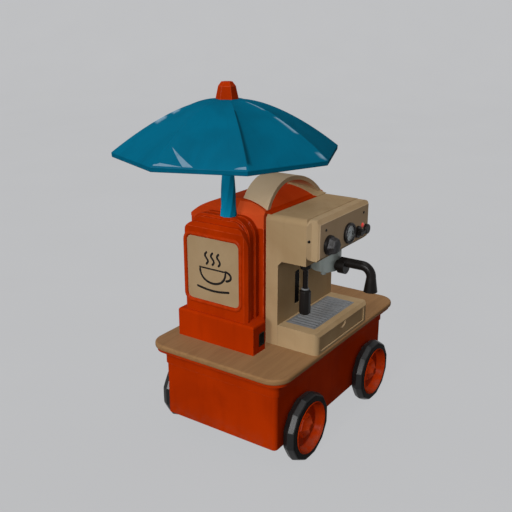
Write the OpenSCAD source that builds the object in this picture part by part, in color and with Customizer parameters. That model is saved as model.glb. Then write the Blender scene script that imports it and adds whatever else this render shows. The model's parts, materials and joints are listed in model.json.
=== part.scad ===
// Coffee cart: a wheeled counter with a one-group espresso machine, a sign case and a parasol.
// Millimetres. The origin is the middle of the base's flat underside.
// X runs along the cart, -X is the sign end, -Y is the barista's side, +Z is up.
// Front is the sign end, so -Y is also the cart's left.

/* [Base] */
// Length of the base box
base_l = 525; // [470:1:600]
// Width of the base box
base_w = 310; // [290:1:340]
// Gap from the floor to the underside
clearance = 56; // [46:1:66]
// Height of the base box
tub_h = 132; // [120:1:150]
// Wall of the base box
tub_wall = 6; // [4:0.5:7]
// Corner radius of the base box
tub_r = 10; // [9:1:14]
// Height of the flared moulding
cornice_h = 43; // [40:1:50]
// How far the flat band of the moulding stands proud
band_out = 3; // [2:0.5:5]
// How far the counter reaches past the base
overhang = 30; // [26:1:34]
// Thickness of the counter slab
slab_t = 14; // [11:1:18]
// Corner radius of the counter slab
counter_r = 45; // [40:1:48]
// Edge rounding of the counter slab
slab_edge = 5; // [3:0.5:5]

/* [Wheels] */
// Diameter over the tyre
wheel_d = 160; // [154:1:166]
// Width of the tyre
wheel_w = 30; // [28:1:34]
// Distance between the axles
wheelbase = 332; // [310:1:345]
// Gap from the base to the tyre
wheel_gap = 5; // [4:0.5:7]
// Diameter of the tyre seat on the rim
rim_d = 114; // [106:1:118]
// Chamfer of the tyre's shoulders
tyre_chamfer = 8; // [5:0.5:10]
// Diameter of the axles
axle_d = 12; // [10:0.5:13]

/* [Sign] */
// Height of the plinth
plinth_h = 69; // [56:1:80]
// Width of the plinth
plinth_w = 215; // [205:1:225]
// How far the plinth stands out in front of the bezel
plinth_step = 8; // [4:0.5:14]
// Height of the sign bezel
bezel_h = 206; // [180:1:214]
// Width of the sign bezel
bezel_w = 178; // [168:1:190]
// Thickness of the sign bezel
bezel_t = 14; // [11:1:15]
// Thickness of the sign case behind the bezel
case_t = 42; // [38:1:56]
// Height of the sign case
case_h = 224; // [216:1:236]
// Width of the sign panel
panel_w = 146; // [130:1:154]
// Height of the sign panel
panel_h = 152; // [140:1:160]

/* [Parasol] */
// Radius of the canopy over its corners
canopy_r = 246; // [225:1:265]
// Height of the canopy's crown above the floor
crown_h = 802; // [780:1:860]
// Drop from the crown to the rim
canopy_drop = 105; // [90:1:120]
// Depth of the hem
hem_h = 10; // [7:0.5:14]
// Wall of the canopy
canopy_t = 3; // [2:0.25:4]
// Diameter of the mast
mast_d = 28; // [25:0.5:30]
// Wall of the mast's tube at its spigot
mast_wall = 2.5; // [1.5:0.25:4]
// Diameter of the mast's flared foot
mast_foot_d = 38; // [34:0.5:40]
// Diameter of the mast's spigot
spigot_d = 22; // [20:0.5:23]
// Height of the finial
finial_h = 36; // [30:1:42]

/* [Machine] */
// Width of the machine
mach_w = 255; // [245:1:265]
// Height of the machine above the counter
mach_h = 310; // [300:1:325]
// Height of the head
head_h = 104; // [98:1:108]
// Reach of the head past the column
head_d = 72; // [70:1:76]
// Depth of the column
col_d = 32; // [28:1:36]
// Wall of the machine's casings
case_wall = 4; // [3:0.25:5]
// Thickness of the control fascia
fascia_t = 27; // [24:1:30]
// Height of the tray base
tray_h = 51; // [48:1:56]
// Depth of the tray base in front of the column
tray_d = 105; // [102:1:110]
// Depth of the rear housing
rear_d = 206; // [198:1:210]
// Height of the tank lid's crown
lid_h = 55; // [50:1:60]
// Width of the handle strap
strap_w = 72; // [60:1:84]
// Thickness of the handle strap
strap_t = 10.5; // [9:0.5:12]
// Rise of the handle above the lid's crown
strap_rise = 43; // [40:1:46]

/* [Brewing] */
// Outer diameter of the group
group_d = 74; // [70:1:78]
// Diameter of the portafilter's rim
rim_fit_d = 57.4; // [54:0.2:58]
// Diameter of the portafilter's body
filter_d = 66; // [63:1:68]
// Diameter of the portafilter's handle
grip_d = 24; // [20:0.5:26]
// Reach of the handle from the group's axis
grip_reach = 119; // [110:1:122]
// Diameter of the steam wand
wand_d = 12; // [10:0.5:13]
// Length of the steam wand below its ball
wand_l = 111; // [100:1:116]
// Diameter of the wand's sleeve
sleeve_d = 26; // [22:0.5:28]
// Diameter of the boiler
boiler_d = 68; // [60:1:72]

/* [Controls] */
// Diameter of the steam knob
steam_knob_d = 45; // [38:1:48]
// Diameter of the temperature knob
temp_knob_d = 28; // [24:1:30]
// Diameter of the pressure gauge
gauge_d = 49; // [44:1:52]
// Diameter of the brew button
button_d = 24; // [20:1:26]
// Travel of the brew button
button_travel = 4; // [2:0.5:5]

/* [Hidden] */
$fn = 64;
// Radial clearance of running fits
fit = 0.05;
// Gap between separate pieces that pass each other
gap = 0.3;
// Overlap of a cutting solid past the face it cuts
cut = 1;

floor_z = -clearance;
deck = tub_h + cornice_h + slab_t;
counter_l = base_l + 2 * overhang;
counter_w = base_w + 2 * overhang;
side_y = base_w / 2;
axle_z = floor_z + wheel_d / 2;
axle_r = axle_d / 2;
bush_wall = 4;
bush_r = axle_r + bush_wall;
bush_flange_w = 9;
bush_flange_r = axle_r + bush_flange_w;
bush_flange_t = 3;
hub_wall = 8;
hub_r = axle_r + hub_wall;
hub_end = 24;
cap_t = 4;
cap_flange_w = 11;
cap_flange_t = 3;
cap_step = 9.5;
cap_taper = 5;
rim_r = rim_d / 2;

// Screws up through the counter
bolt_r = 3;
bolt_l = 18;
bolt_head_r = 6;
bolt_head_h = 4;
tray_bolt_in = 11;
side_bolt_in = 18;
plinth_bolt_in = 14;
plinth_bolt_end = 50;

// The machine stands a little off the cart's middle
mach_x = -12;
mach_x0 = mach_x - mach_w / 2;
mach_x1 = mach_x + mach_w / 2;
col_y = -78;
back_y = col_y + col_d;
head_y = col_y - head_d;
fascia_y = head_y - fascia_t;
tray_y = col_y - tray_d;
rear_y = back_y + rear_d;
mach_top = deck + mach_h;
head_z = mach_top - head_h;
tray_top = deck + tray_h;
head_mid = (head_z + mach_top) / 2;
lid_z = mach_top - 33;
rear_step = 9;
rear_x0 = mach_x0 - rear_step;

// Sign and mast
sign_y = 48;
plinth_y = sign_y - 5;
panel_y = sign_y + 5;
sign_gap = 4;
case_x1 = rear_x0 - sign_gap;
case_x0 = case_x1 - case_t;
bezel_x0 = case_x0 - bezel_t;
plinth_x1 = case_x1 + 2;
plinth_x0 = bezel_x0 - plinth_step;
plinth_d = plinth_x1 - plinth_x0;
sign_z = deck + plinth_h;
case_top = sign_z + case_h;
case_w = bezel_w - 10;
panel_z = sign_z + bezel_h / 2 + 4;
panel_t = 3;
panel_r = 14;
panel_inset = 1;
mast_x = (case_x0 + case_x1) / 2 - 2;
mast_y = 30;
mast_r = mast_d / 2;
socket_d = spigot_d + 10;
bush_top_t = 2;
foot_z = case_top + bush_top_t;
socket_floor = sign_z + 26;
taper_h = 105;

// Canopy
crown_z = floor_z + crown_h;
crown_flat_r = 26;
canopy_sides = 8;
canopy_steps = 9;
canopy_power = 1.6;
hub_h = 28;
canopy_hub_r = 22;
stud_r = 6;
rib_w = 6;
rib_depth = 9;
rib_seat = 0.2;
hub_z = crown_z - canopy_t - hub_h;
mast_top = hub_z + hub_h / 2;
function canopy_fall(r) = canopy_drop * pow(max(0, r - crown_flat_r) / (canopy_r - crown_flat_r), canopy_power);
function canopy_z(r) = crown_z - canopy_fall(r);
function canopy_step(i) = crown_flat_r + (canopy_r - crown_flat_r) * i / canopy_steps;

// Rear housing, lid and handle
lid_crown_y = 35;
lid_crown_r = 190;
lid_top = lid_z + lid_h;
lid_wall = 10;
lid_corner_r = 52;
lid_edge_h = 5;
lip_h = 6;
strap_y = -8;
strap_x = mach_x - 26;
strap_left = 90;
strap_right = 142;
strap_top = lid_top + strap_rise;
strap_sink = 5;
strap_base = lid_top - 11;
function arch_r(half) = (half * half + pow(strap_top - strap_base, 2)) / (2 * (strap_top - strap_base));

// Group, portafilter and wand
group_x = 0;
group_reach = 44;
group_y = col_y - group_reach;
group_h = 18;
group_z = head_z - group_h;
group_bore_h = 12;
neck_r = 18;
rim_fit_r = rim_fit_d / 2;
rim_wall = 2.4;
rim_rise = 9.5;
rim_z = group_z + rim_rise;
ear_out = 3.4;
ear_h = 5;
ear_w = 12;
ear_rise = 4;
ear_z = group_z + ear_rise;
gate_slack = 1;
lock_turn = 45;
filter_r = filter_d / 2;
filter_h = 28;
filter_drop = 0.5;
filter_floor = 4;
filter_z = group_z - filter_drop - filter_h;
basket_r = rim_fit_r - rim_wall;
basket_lip = 1.5;
basket_rise = 7;
screen_t = 1.2;
screen_in = 1;
spout_l = 14;
spout_r = 6;
spout_bore_r = 3.5;
spout_x = 8;
grip_low = 0.5;
grip_z = filter_z + filter_h / 2 - grip_low;
grip_r = grip_d / 2;
bend_r = 24;
grip_drop = 34;
neck_rise = 10;
neck_gap = 1.5;
neck_l = 17.5;
wand_x = mach_x0 + 22;
wand_y = head_y + 13;
ball_r = 8;
ball_z = head_z - 10;
wand_socket_r = 12;
sleeve_r = sleeve_d / 2;
sleeve_l = 60;

// Boiler and pipes
boiler_r = boiler_d / 2;
boiler_end = 62.5;
boiler_l = mach_w - 2 * boiler_end;
boiler_reach = 52;
boiler_y = back_y - boiler_reach;
boiler_drop = 50;
boiler_z = mach_top - boiler_drop;
boiler_flange_t = 6;
boiler_flange_w = 3;
boss_h = 14;
boss_z = head_z + boss_h;
pipe_r = 3.5;
feed_in = 16;
feed_back = 20;
take_back = 6;
drop_in = 20;

// Controls on the fascia: the steam knob is set out from the left end, the rest in a row from the right
steam_in = 48.5;
steam_x = mach_x0 + steam_in;
steam_drop = 9;
steam_z = head_mid - steam_drop;
button_in = 22.5;
button_x = mach_x1 - button_in;
button_drop = 16;
button_z = head_mid - button_drop;
lamp_pitch = 18;
lamp_x = button_x - lamp_pitch;
lamp_drop = 3;
lamp_z = head_mid - lamp_drop;
temp_pitch = 26;
temp_x = lamp_x - temp_pitch;
temp_drop = 13;
temp_z = head_mid - temp_drop;
gauge_pitch = 45;
gauge_x = temp_x - gauge_pitch;
gauge_drop = 5;
gauge_z = head_mid - gauge_drop;
steam_knob_l = 24;
temp_knob_l = 16;
switch_wall = 3;
switch_d = 26;
stem_r = 4;
lamp_r = 5;
valve_r = 10;
valve_l = 34;
steam_stem_in = 12;
gauge_r = gauge_d / 2;
gauge_body_r = gauge_r - 5;
gauge_back = head_y + 8;

// Level window in the column
level_w = 20;
level_h = 82;
level_r = 4;
level_off = 42;
level_drop = 9.5;

// Tray
cavity_side = 21;
cavity_w = mach_w - 2 * cavity_side;
cavity_h = 34;
cavity_floor = 6;
grate_w = 198;
grate_d = 77;
grate_t = 5;
grate_reach = 43.5;
grate_y = col_y - grate_reach;
drawer_wall = 3;
front_inset = 2;

// Rear inner pieces
inner_x0 = rear_x0 + case_wall;
inner_x1 = mach_x1 - case_wall;
inner_y0 = back_y + case_wall;
inner_y1 = rear_y - case_wall;
tank_off = 8;
tank_gap = 4;
tank_back = 46;
tank_drop = 14;
tank_x0 = mach_x - tank_off;
tank_x1 = inner_x1 - tank_gap;
tank_y0 = back_y + tank_back;
tank_y1 = inner_y1 - tank_gap;
tank_top = lid_z - tank_drop;
tank_wall = 3;
pump_r = 20;
pump_end = 36;
pump_pipe_l = 24;
pump_in = 60;
pump_rise = 28;
pump_nose = 6;
pump_foot = 18;
pump_foot_in = 4;
pump_x0 = inner_x0 + pump_end;
pump_x1 = tank_x0 - pump_pipe_l;
pump_y = tank_y0 + pump_in;
pump_z = deck + case_wall + pump_rise;

red = "#B9330D";
beige = "#B59C79";
teal = "#0F7594";
black = "#1C1816";
steel = "#A9AEB3";
copper = "#B36A3C";

// Shapes that repeat

// Rectangle with round corners, centred
module rounded_rect(l, w, r) {
    square([l - 2 * r, w], center = true);
    square([l, w - 2 * r], center = true);
    for (sx = [-1, 1], sy = [-1, 1])
        translate([sx * (l / 2 - r), sy * (w / 2 - r)])
            circle(r);
}

// Rectangle standing on y = 0, with only its upper corners round
module arched_rect(w, h, r) {
    translate([-w / 2, 0])
        square([w, h - r]);
    translate([-w / 2 + r, 0])
        square([w - 2 * r, h]);
    for (s = [-1, 1])
        translate([s * (w / 2 - r), h - r])
            circle(r);
}

// Sweeps a profile, x outwards and y up, round a rounded rectangle
module sweep_round(l, w, r) {
    for (q = [[1, 1, 0], [-1, 1, 90], [-1, -1, 180], [1, -1, 270]])
        translate([q.x * (l / 2 - r), q.y * (w / 2 - r), 0])
            rotate(q.z)
                rotate_extrude(angle = 90)
                    translate([r, 0])
                        children();
    for (turn = [0, 180])
        rotate(turn) {
            translate([l / 2, 0, 0])
                rotate([90, 0, 0])
                    linear_extrude(w - 2 * r, center = true)
                        children();
            translate([0, w / 2, 0])
                rotate([90, 0, 90])
                    linear_extrude(l - 2 * r, center = true)
                        children();
        }
}

// Extrudes a Y-Z outline from x0 to x1
module along_x(x0, x1) {
    translate([x0, 0, 0])
        rotate([90, 0, 90])
            linear_extrude(x1 - x0)
                children();
}

// Extrudes an X-Z outline from y0 to y1
module along_y(y0, y1) {
    translate([0, y1, 0])
        rotate([90, 0, 0])
            linear_extrude(y1 - y0)
                children();
}

// Box between two corners
module box(a, b) {
    translate(a)
        cube(b - a);
}

// Round bar along Y
module bar_y(x, z, y0, y1, r) {
    translate([x, y0, z])
        rotate([-90, 0, 0])
            cylinder(r = r, h = y1 - y0);
}

// Round bar along X
module bar_x(y, z, x0, x1, r) {
    translate([x0, y, z])
        rotate([0, 90, 0])
            cylinder(r = r, h = x1 - x0);
}

// Straight runs along the axes with ball corners
module pipe(points, r) {
    for (i = [1 : len(points) - 1]) {
        a = points[i - 1];
        run = points[i] - a;
        translate(a)
            rotate([0, acos(run.z / norm(run)), atan2(run.y, run.x)])
                cylinder(r = r, h = norm(run));
        if (i < len(points) - 1)
            translate(points[i])
                sphere(r);
    }
}

// Base

module base_tub() {
    color(red)
        difference() {
            linear_extrude(tub_h)
                rounded_rect(base_l, base_w, tub_r);
            translate([0, 0, tub_wall])
                linear_extrude(tub_h)
                    rounded_rect(base_l - 2 * tub_wall, base_w - 2 * tub_wall, tub_r - tub_wall);
            for (x = [-wheelbase / 2, wheelbase / 2])
                bar_y(x, axle_z, -side_y - cut, side_y + cut, bush_r + fit);
        }
}

module cornice() {
    lip = overhang - 7;
    cove_r = lip - band_out;
    cove_z = cornice_h - 8 - cove_r;
    color(red)
        translate([0, 0, tub_h])
            sweep_round(base_l, base_w, tub_r)
                difference() {
                    translate([-tub_wall, 0])
                        square([tub_wall + lip, cornice_h]);
                    translate([band_out, -cut])
                        square([overhang, cove_z + cut]);
                    translate([lip, cove_z])
                        circle(cove_r);
                }
}

// Where the screws come up through the slab, into the tray and the plinth
function deck_bolt_spots() = concat(
    [for (x = [mach_x0 + tray_bolt_in, mach_x1 - tray_bolt_in]) [x, side_bolt_in - side_y]],
    [for (x = [plinth_x0 + plinth_bolt_in, plinth_x1 - plinth_bolt_in], s = [-1, 1])
        [x, plinth_y + s * (plinth_w / 2 - plinth_bolt_end)]]);

module counter_slab() {
    color(beige)
        difference() {
            translate([0, 0, deck - slab_t]) {
                linear_extrude(slab_t)
                    rounded_rect(counter_l - 2 * slab_edge, counter_w - 2 * slab_edge, counter_r - slab_edge);
                sweep_round(counter_l - 2 * slab_edge, counter_w - 2 * slab_edge, counter_r - slab_edge) {
                    union() {
                        translate([-slab_edge, 0])
                            square([slab_edge, slab_t]);
                        translate([0, slab_edge])
                            square([slab_edge, slab_t - 2 * slab_edge]);
                        for (y = [slab_edge, slab_t - slab_edge])
                            translate([0, y])
                                circle(slab_edge);
                    }
                }
            }
            for (p = deck_bolt_spots())
                translate([p.x, p.y, deck - slab_t - cut])
                    cylinder(r = bolt_r + fit, h = slab_t + 2 * cut);
        }
}

module deck_bolts() {
    color(steel)
        for (p = deck_bolt_spots())
            translate([p.x, p.y, deck - slab_t]) {
                cylinder(r = bolt_r, h = slab_t + bolt_l);
                translate([0, 0, -bolt_head_h])
                    cylinder(r = bolt_head_r, h = bolt_head_h);
            }
}

// Bores for the screws in what stands on the slab
module deck_bolt_bores() {
    for (p = deck_bolt_spots())
        translate([p.x, p.y, deck - cut])
            cylinder(r = bolt_r + fit, h = bolt_l + 2 * cut);
}

// Running gear

// Stands a shape on the base's side, with +Z outwards along the axle
module on_axle(x, side) {
    translate([x, side * side_y, axle_z])
        rotate([-90 * side, 0, 0])
            children();
}

module axle(x) {
    reach = side_y + wheel_gap + wheel_w - cap_t;
    color(steel)
        bar_y(x, axle_z, -reach, reach, axle_r);
}

module axle_front() {
    axle(-wheelbase / 2);
}

module axle_rear() {
    axle(wheelbase / 2);
}

module axle_bushes() {
    color(steel)
        for (x = [-wheelbase / 2, wheelbase / 2], side = [-1, 1])
            on_axle(x, side)
                difference() {
                    union() {
                        translate([0, 0, -tub_wall])
                            cylinder(r = bush_r, h = tub_wall + bush_flange_t);
                        cylinder(r = bush_flange_r, h = bush_flange_t);
                    }
                    translate([0, 0, -tub_wall - cut])
                        cylinder(r = axle_r + fit, h = tub_wall + bush_flange_t + 2 * cut);
                }
}

module axle_caps() {
    outer = wheel_gap + wheel_w;
    color(red)
        for (x = [-wheelbase / 2, wheelbase / 2], side = [-1, 1])
            on_axle(x, side)
                difference() {
                    translate([0, 0, hub_end + gap]) {
                        cylinder(r = hub_r + cap_flange_w, h = cap_flange_t);
                        translate([0, 0, cap_flange_t])
                            cylinder(r1 = hub_r + cap_step, r2 = hub_r + cap_step - cap_taper,
                                h = outer - hub_end - gap - cap_flange_t);
                    }
                    cylinder(r = axle_r + fit, h = outer - cap_t);
                }
}

// Dished wheel: hub, cone-shaped web, rim with a lip
module wheel(x, side) {
    inner = wheel_gap + 2;
    outer = wheel_gap + wheel_w - 2;
    web = 7;
    lip_r = rim_r - 6;
    color(red)
        on_axle(x, side)
            rotate_extrude()
                polygon([
                    [axle_r + fit, bush_flange_t + gap], [hub_r, bush_flange_t + gap], [hub_r, inner + 3],
                    [rim_r - 7, inner + 3], [rim_r - 7, inner], [rim_r, inner], [rim_r, outer],
                    [lip_r, outer], [lip_r - 3, outer - 3], [lip_r - 5, inner + 3 + web],
                    [hub_r + 15, inner + 3 + web], [hub_r + 12.5, hub_end], [axle_r + fit, hub_end]]);
}

module tyre(x, side) {
    inner = wheel_gap;
    outer = wheel_gap + wheel_w;
    r = wheel_d / 2;
    seat = rim_r + fit;
    color(black)
        on_axle(x, side)
            rotate_extrude()
                polygon([
                    [seat, inner], [r - tyre_chamfer, inner], [r, inner + tyre_chamfer],
                    [r, outer - tyre_chamfer], [r - tyre_chamfer, outer], [seat, outer]]);
}

module wheel_front_left() {
    wheel(-wheelbase / 2, -1);
}

module wheel_front_right() {
    wheel(-wheelbase / 2, 1);
}

module wheel_rear_left() {
    wheel(wheelbase / 2, -1);
}

module wheel_rear_right() {
    wheel(wheelbase / 2, 1);
}

module tyre_front_left() {
    tyre(-wheelbase / 2, -1);
}

module tyre_front_right() {
    tyre(-wheelbase / 2, 1);
}

module tyre_rear_left() {
    tyre(wheelbase / 2, -1);
}

module tyre_rear_right() {
    tyre(wheelbase / 2, 1);
}

// Sign

module sign_plinth() {
    edge = 6;
    slot_w = 18;
    slot_h = 28;
    slot_deep = 26;
    corner_cut = 20;
    slot_x = (plinth_x0 + plinth_x1) / 2 - slot_w / 2;
    slot_y = plinth_y - plinth_w / 2;
    color(red)
        difference() {
            intersection() {
                along_x(plinth_x0, plinth_x1)
                    translate([plinth_y, deck])
                        arched_rect(plinth_w, plinth_h, edge);
                along_y(slot_y, slot_y + plinth_w)
                    translate([(plinth_x0 + plinth_x1) / 2, deck])
                        arched_rect(plinth_d, plinth_h, edge);
            }
            box([slot_x, slot_y - cut, deck + 16], [slot_x + slot_w, slot_y + slot_deep, deck + 16 + slot_h]);
            translate([plinth_x1, slot_y, deck - cut])
                linear_extrude(plinth_h + 2 * cut)
                    polygon([[-corner_cut, -cut], [cut, -cut], [cut, corner_cut]]);
            deck_bolt_bores();
        }
}

// Case with two grooves round its sides, bored for the mast socket
module sign_case() {
    corner = 40;
    groove = 5;
    groove_w = 7;
    color(red)
        difference() {
            along_x(case_x0, case_x1)
                translate([sign_y, sign_z])
                    arched_rect(case_w, case_h, corner);
            for (x = [case_x0, case_x0 + 22])
                along_x(x - (x == case_x0 ? cut : 0), x + groove_w)
                    difference() {
                        translate([sign_y - case_w, sign_z - cut])
                            square([2 * case_w, case_h + 2 * cut]);
                        translate([sign_y, sign_z - 2 * cut])
                            arched_rect(case_w - 2 * groove, case_h - groove + 2 * cut, corner - groove);
                    }
            translate([mast_x, mast_y, socket_floor])
                cylinder(r = socket_d / 2 + fit, h = case_h);
        }
}

module sign_bezel() {
    corner = 30;
    edge = 7;
    color(red)
        difference() {
            intersection() {
                along_x(bezel_x0, case_x0)
                    translate([sign_y, sign_z])
                        arched_rect(bezel_w, bezel_h, corner);
                along_y(sign_y - bezel_w, sign_y + bezel_w)
                    polygon([
                        [case_x0, sign_z], [case_x0, sign_z + bezel_h], [bezel_x0 + edge, sign_z + bezel_h],
                        [bezel_x0, sign_z + bezel_h - edge], [bezel_x0, sign_z]]);
                linear_extrude(2 * crown_z)
                    polygon([
                        [case_x0, sign_y - bezel_w / 2], [case_x0, sign_y + bezel_w / 2],
                        [bezel_x0 + edge, sign_y + bezel_w / 2], [bezel_x0, sign_y + bezel_w / 2 - edge],
                        [bezel_x0, sign_y - bezel_w / 2 + edge], [bezel_x0 + edge, sign_y - bezel_w / 2]]);
            }
            along_x(bezel_x0 - cut, bezel_x0 + panel_t + panel_inset)
                translate([panel_y, panel_z])
                    rounded_rect(panel_w, panel_h, panel_r);
        }
}

module sign_panel() {
    color(beige)
        along_x(bezel_x0 + panel_inset, bezel_x0 + panel_inset + panel_t)
            translate([panel_y, panel_z])
                rounded_rect(panel_w - 2 * gap, panel_h - 2 * gap, panel_r - gap);
}

// Steel tube sunk in the case, closed below
module mast_socket() {
    color(steel)
        translate([mast_x, mast_y, 0])
            difference() {
                translate([0, 0, socket_floor])
                    cylinder(r = socket_d / 2, h = case_top - socket_floor);
                translate([0, 0, socket_floor + 4])
                    cylinder(r = socket_d / 2 - 2 + fit, h = case_h);
            }
}

// Flanged bush that turns in the socket with the mast
module socket_bush() {
    color(black)
        translate([mast_x, mast_y, 0])
            difference() {
                union() {
                    translate([0, 0, socket_floor + 4 + gap])
                        cylinder(r = socket_d / 2 - 2, h = case_top - socket_floor - 4);
                    translate([0, 0, case_top + gap])
                        cylinder(r = socket_d / 2 + 2, h = bush_top_t - gap);
                }
                translate([0, 0, socket_floor])
                    cylinder(r = spigot_d / 2 + fit, h = case_h);
            }
}

// Parasol

module mast() {
    spigot_z = socket_floor + 12;
    color(teal)
        translate([mast_x, mast_y, 0])
            difference() {
                union() {
                    translate([0, 0, spigot_z])
                        cylinder(r = spigot_d / 2, h = foot_z - spigot_z + cut);
                    translate([0, 0, foot_z])
                        cylinder(r1 = mast_foot_d / 2, r2 = mast_r, h = taper_h);
                    translate([0, 0, foot_z + taper_h])
                        cylinder(r = mast_r, h = mast_top - foot_z - taper_h);
                }
                translate([0, 0, spigot_z - cut])
                    cylinder(r = spigot_d / 2 - mast_wall, h = mast_top - spigot_z + 2 * cut);
            }
}

module canopy_hub() {
    color(black)
        translate([mast_x, mast_y, 0])
            difference() {
                translate([0, 0, hub_z])
                    cylinder(r = canopy_hub_r, h = hub_h);
                translate([0, 0, hub_z - cut])
                    cylinder(r = mast_r + fit, h = mast_top - hub_z + cut);
                translate([0, 0, hub_z])
                    cylinder(r = stud_r + fit, h = hub_h + cut);
                for (i = [0 : canopy_sides - 1])
                    rotate(i * 360 / canopy_sides)
                        box([canopy_hub_r - 6, -rib_w / 2 - fit, crown_z - canopy_t - rib_depth - 1],
                            [canopy_hub_r + cut, rib_w / 2 + fit, crown_z]);
            }
}

// Eight ribs under the canopy's corners, seated in the hub's notches
module canopy_ribs() {
    reach = canopy_r - 14;
    slack = rib_w / 2 * tan(180 / canopy_sides);
    root = canopy_hub_r - 5.5;
    function rib_r(i) = root + (reach - root) * i / canopy_steps;
    function rib_top(r) = canopy_z(r + slack) - canopy_t - rib_seat - (r > crown_flat_r ? 1 : 0);
    color(black)
        translate([mast_x, mast_y, 0])
            for (k = [0 : canopy_sides - 1])
                rotate(k * 360 / canopy_sides)
                    along_y(-rib_w / 2, rib_w / 2)
                        polygon(concat(
                            [for (i = [0 : canopy_steps]) [rib_r(i), rib_top(rib_r(i))]],
                            [for (i = [canopy_steps : -1 : 0]) [rib_r(i), rib_top(rib_r(i)) - rib_depth]]));
}

// Eight-sided dome with a flat crown and an upright hem
module canopy_shell() {
    rim_z = crown_z - canopy_drop;
    hole_r = (stud_r + gap) / cos(180 / canopy_sides);
    color(teal)
        translate([mast_x, mast_y, 0])
            rotate_extrude($fn = canopy_sides)
                polygon(concat(
                    [[hole_r, crown_z]],
                    [for (i = [0 : canopy_steps]) [canopy_step(i), canopy_z(canopy_step(i))]],
                    [[canopy_r, rim_z - hem_h], [canopy_r - canopy_t, rim_z - hem_h]],
                    [[canopy_r - canopy_t, rim_z - canopy_t]],
                    [for (i = [canopy_steps - 1 : -1 : 0])
                        [canopy_step(i), canopy_z(canopy_step(i)) - canopy_t]],
                    [[hole_r, crown_z - canopy_t]]));
}

// Six-sided tapered block on a stud that clamps the canopy to the hub
module finial() {
    shoulder = finial_h * 3 / 4;
    color(red)
        translate([mast_x, mast_y, crown_z]) {
            cylinder(r1 = 25, r2 = 19, h = shoulder, $fn = 6);
            translate([0, 0, shoulder])
                cylinder(r1 = 19, r2 = 12, h = finial_h - shoulder, $fn = 6);
            translate([0, 0, mast_top - crown_z + cut])
                cylinder(r = stud_r, h = crown_z - mast_top);
        }
}

// Espresso machine

// Beige base with a drawer bay in front and a rebate for the grate on top
module tray_base() {
    corner = 14;
    bay_z = deck + cavity_floor;
    ledge = 4;
    color(beige)
        difference() {
            intersection() {
                translate([0, 0, deck])
                    linear_extrude(tray_h)
                        translate([mach_x, (tray_y + col_y - gap) / 2 + corner])
                            rounded_rect(mach_w, tray_d - gap + 2 * corner, corner);
                along_x(mach_x0, mach_x1)
                    polygon([
                        [tray_y, deck], [tray_y, tray_top - 8], [tray_y + 8, tray_top],
                        [col_y - gap, tray_top], [col_y - gap, deck]]);
            }
            box([mach_x - cavity_w / 2, tray_y - cut, bay_z],
                [mach_x + cavity_w / 2, col_y - 6, bay_z + cavity_h]);
            box([mach_x - grate_w / 2, grate_y - grate_d / 2, tray_top - grate_t],
                [mach_x + grate_w / 2, grate_y + grate_d / 2, tray_top + cut]);
            box([mach_x - grate_w / 2 + ledge, grate_y - grate_d / 2 + ledge, bay_z],
                [mach_x + grate_w / 2 - ledge, grate_y + grate_d / 2 - ledge, tray_top]);
            deck_bolt_bores();
        }
}

module drip_drawer() {
    w = cavity_w - 2 * gap;
    x0 = mach_x - w / 2;
    x1 = mach_x + w / 2;
    z0 = deck + cavity_floor + gap;
    z1 = z0 + cavity_h - 2 * gap;
    y0 = tray_y + front_inset;
    y1 = col_y - 6 - gap;
    front_t = 6;
    color(beige)
        difference() {
            union() {
                box([x0, y0, z0], [x1, y0 + front_t, z1]);
                box([x0, y0, z0], [x1, y1, z1 - 6]);
            }
            box([x0 + drawer_wall, y0 + front_t, z0 + drawer_wall], [x1 - drawer_wall, y1 - drawer_wall, z1]);
            // Finger scoop in the front
            translate([mach_x, y0, z1])
                rotate([-90, 0, 0])
                    cylinder(r = 14, h = 2 * 3, center = true);
        }
}

module drip_grate() {
    slots = 14;
    slot_w = 5;
    margin = 7;
    pitch = (grate_w - 2 * margin) / slots;
    color(steel)
        difference() {
            box([mach_x - grate_w / 2 + gap, grate_y - grate_d / 2 + gap, tray_top - grate_t],
                [mach_x + grate_w / 2 - gap, grate_y + grate_d / 2 - gap, tray_top]);
            for (i = [0 : slots - 1])
                translate([mach_x - grate_w / 2 + margin + (i + 0.5) * pitch, grate_y, tray_top])
                    cube([slot_w, grate_d - 2 * margin, 4 * grate_t], center = true);
        }
}

// Side outline of the head and column, moved in by a wall
module shell_outline(in) {
    bevel = case_wall + 2;
    polygon([
        [back_y + (in > 0 ? cut : 0), deck + in], [back_y + (in > 0 ? cut : 0), mach_top - in],
        [head_y + bevel, mach_top - in], [head_y + in, mach_top - bevel], [head_y + in, head_z + in],
        [col_y - 10 + in, head_z + in], [col_y + in, head_z - 10 + in], [col_y + in, deck + in]]);
}

// Head and column in one casing, open at the back
module front_shell() {
    corner = 14;
    color(beige)
        difference() {
            intersection() {
                along_x(mach_x0, mach_x1)
                    shell_outline(0);
                along_y(head_y, back_y)
                    translate([mach_x, deck])
                        arched_rect(mach_w, mach_h, corner);
            }
            intersection() {
                along_x(mach_x0 + case_wall, mach_x1 - case_wall)
                    shell_outline(case_wall);
                along_y(head_y, back_y + cut)
                    translate([mach_x, deck])
                        arched_rect(mach_w - 2 * case_wall, mach_h - case_wall, corner - case_wall);
            }
            translate([group_x, group_y, head_z - cut])
                cylinder(r = neck_r + fit, h = case_wall + 2 * cut);
            // Relief for the group in the throat between head and column
            translate([group_x, group_y, group_z])
                cylinder(r = group_d / 2 + gap, h = group_h);
            translate([wand_x, wand_y, head_z - cut])
                cylinder(r = pipe_r + fit, h = case_wall + 2 * cut);
            for (c = [[steam_x, steam_z, valve_r], [temp_x, temp_z, stem_r], [gauge_x, gauge_z, gauge_body_r],
                    [lamp_x, lamp_z, lamp_r], [button_x, button_z, button_d / 2 + gap]])
                bar_y(c.x, c.y, head_y - cut, head_y + case_wall + cut, c.z + fit);
            level_slot(0);
        }
}

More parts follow.
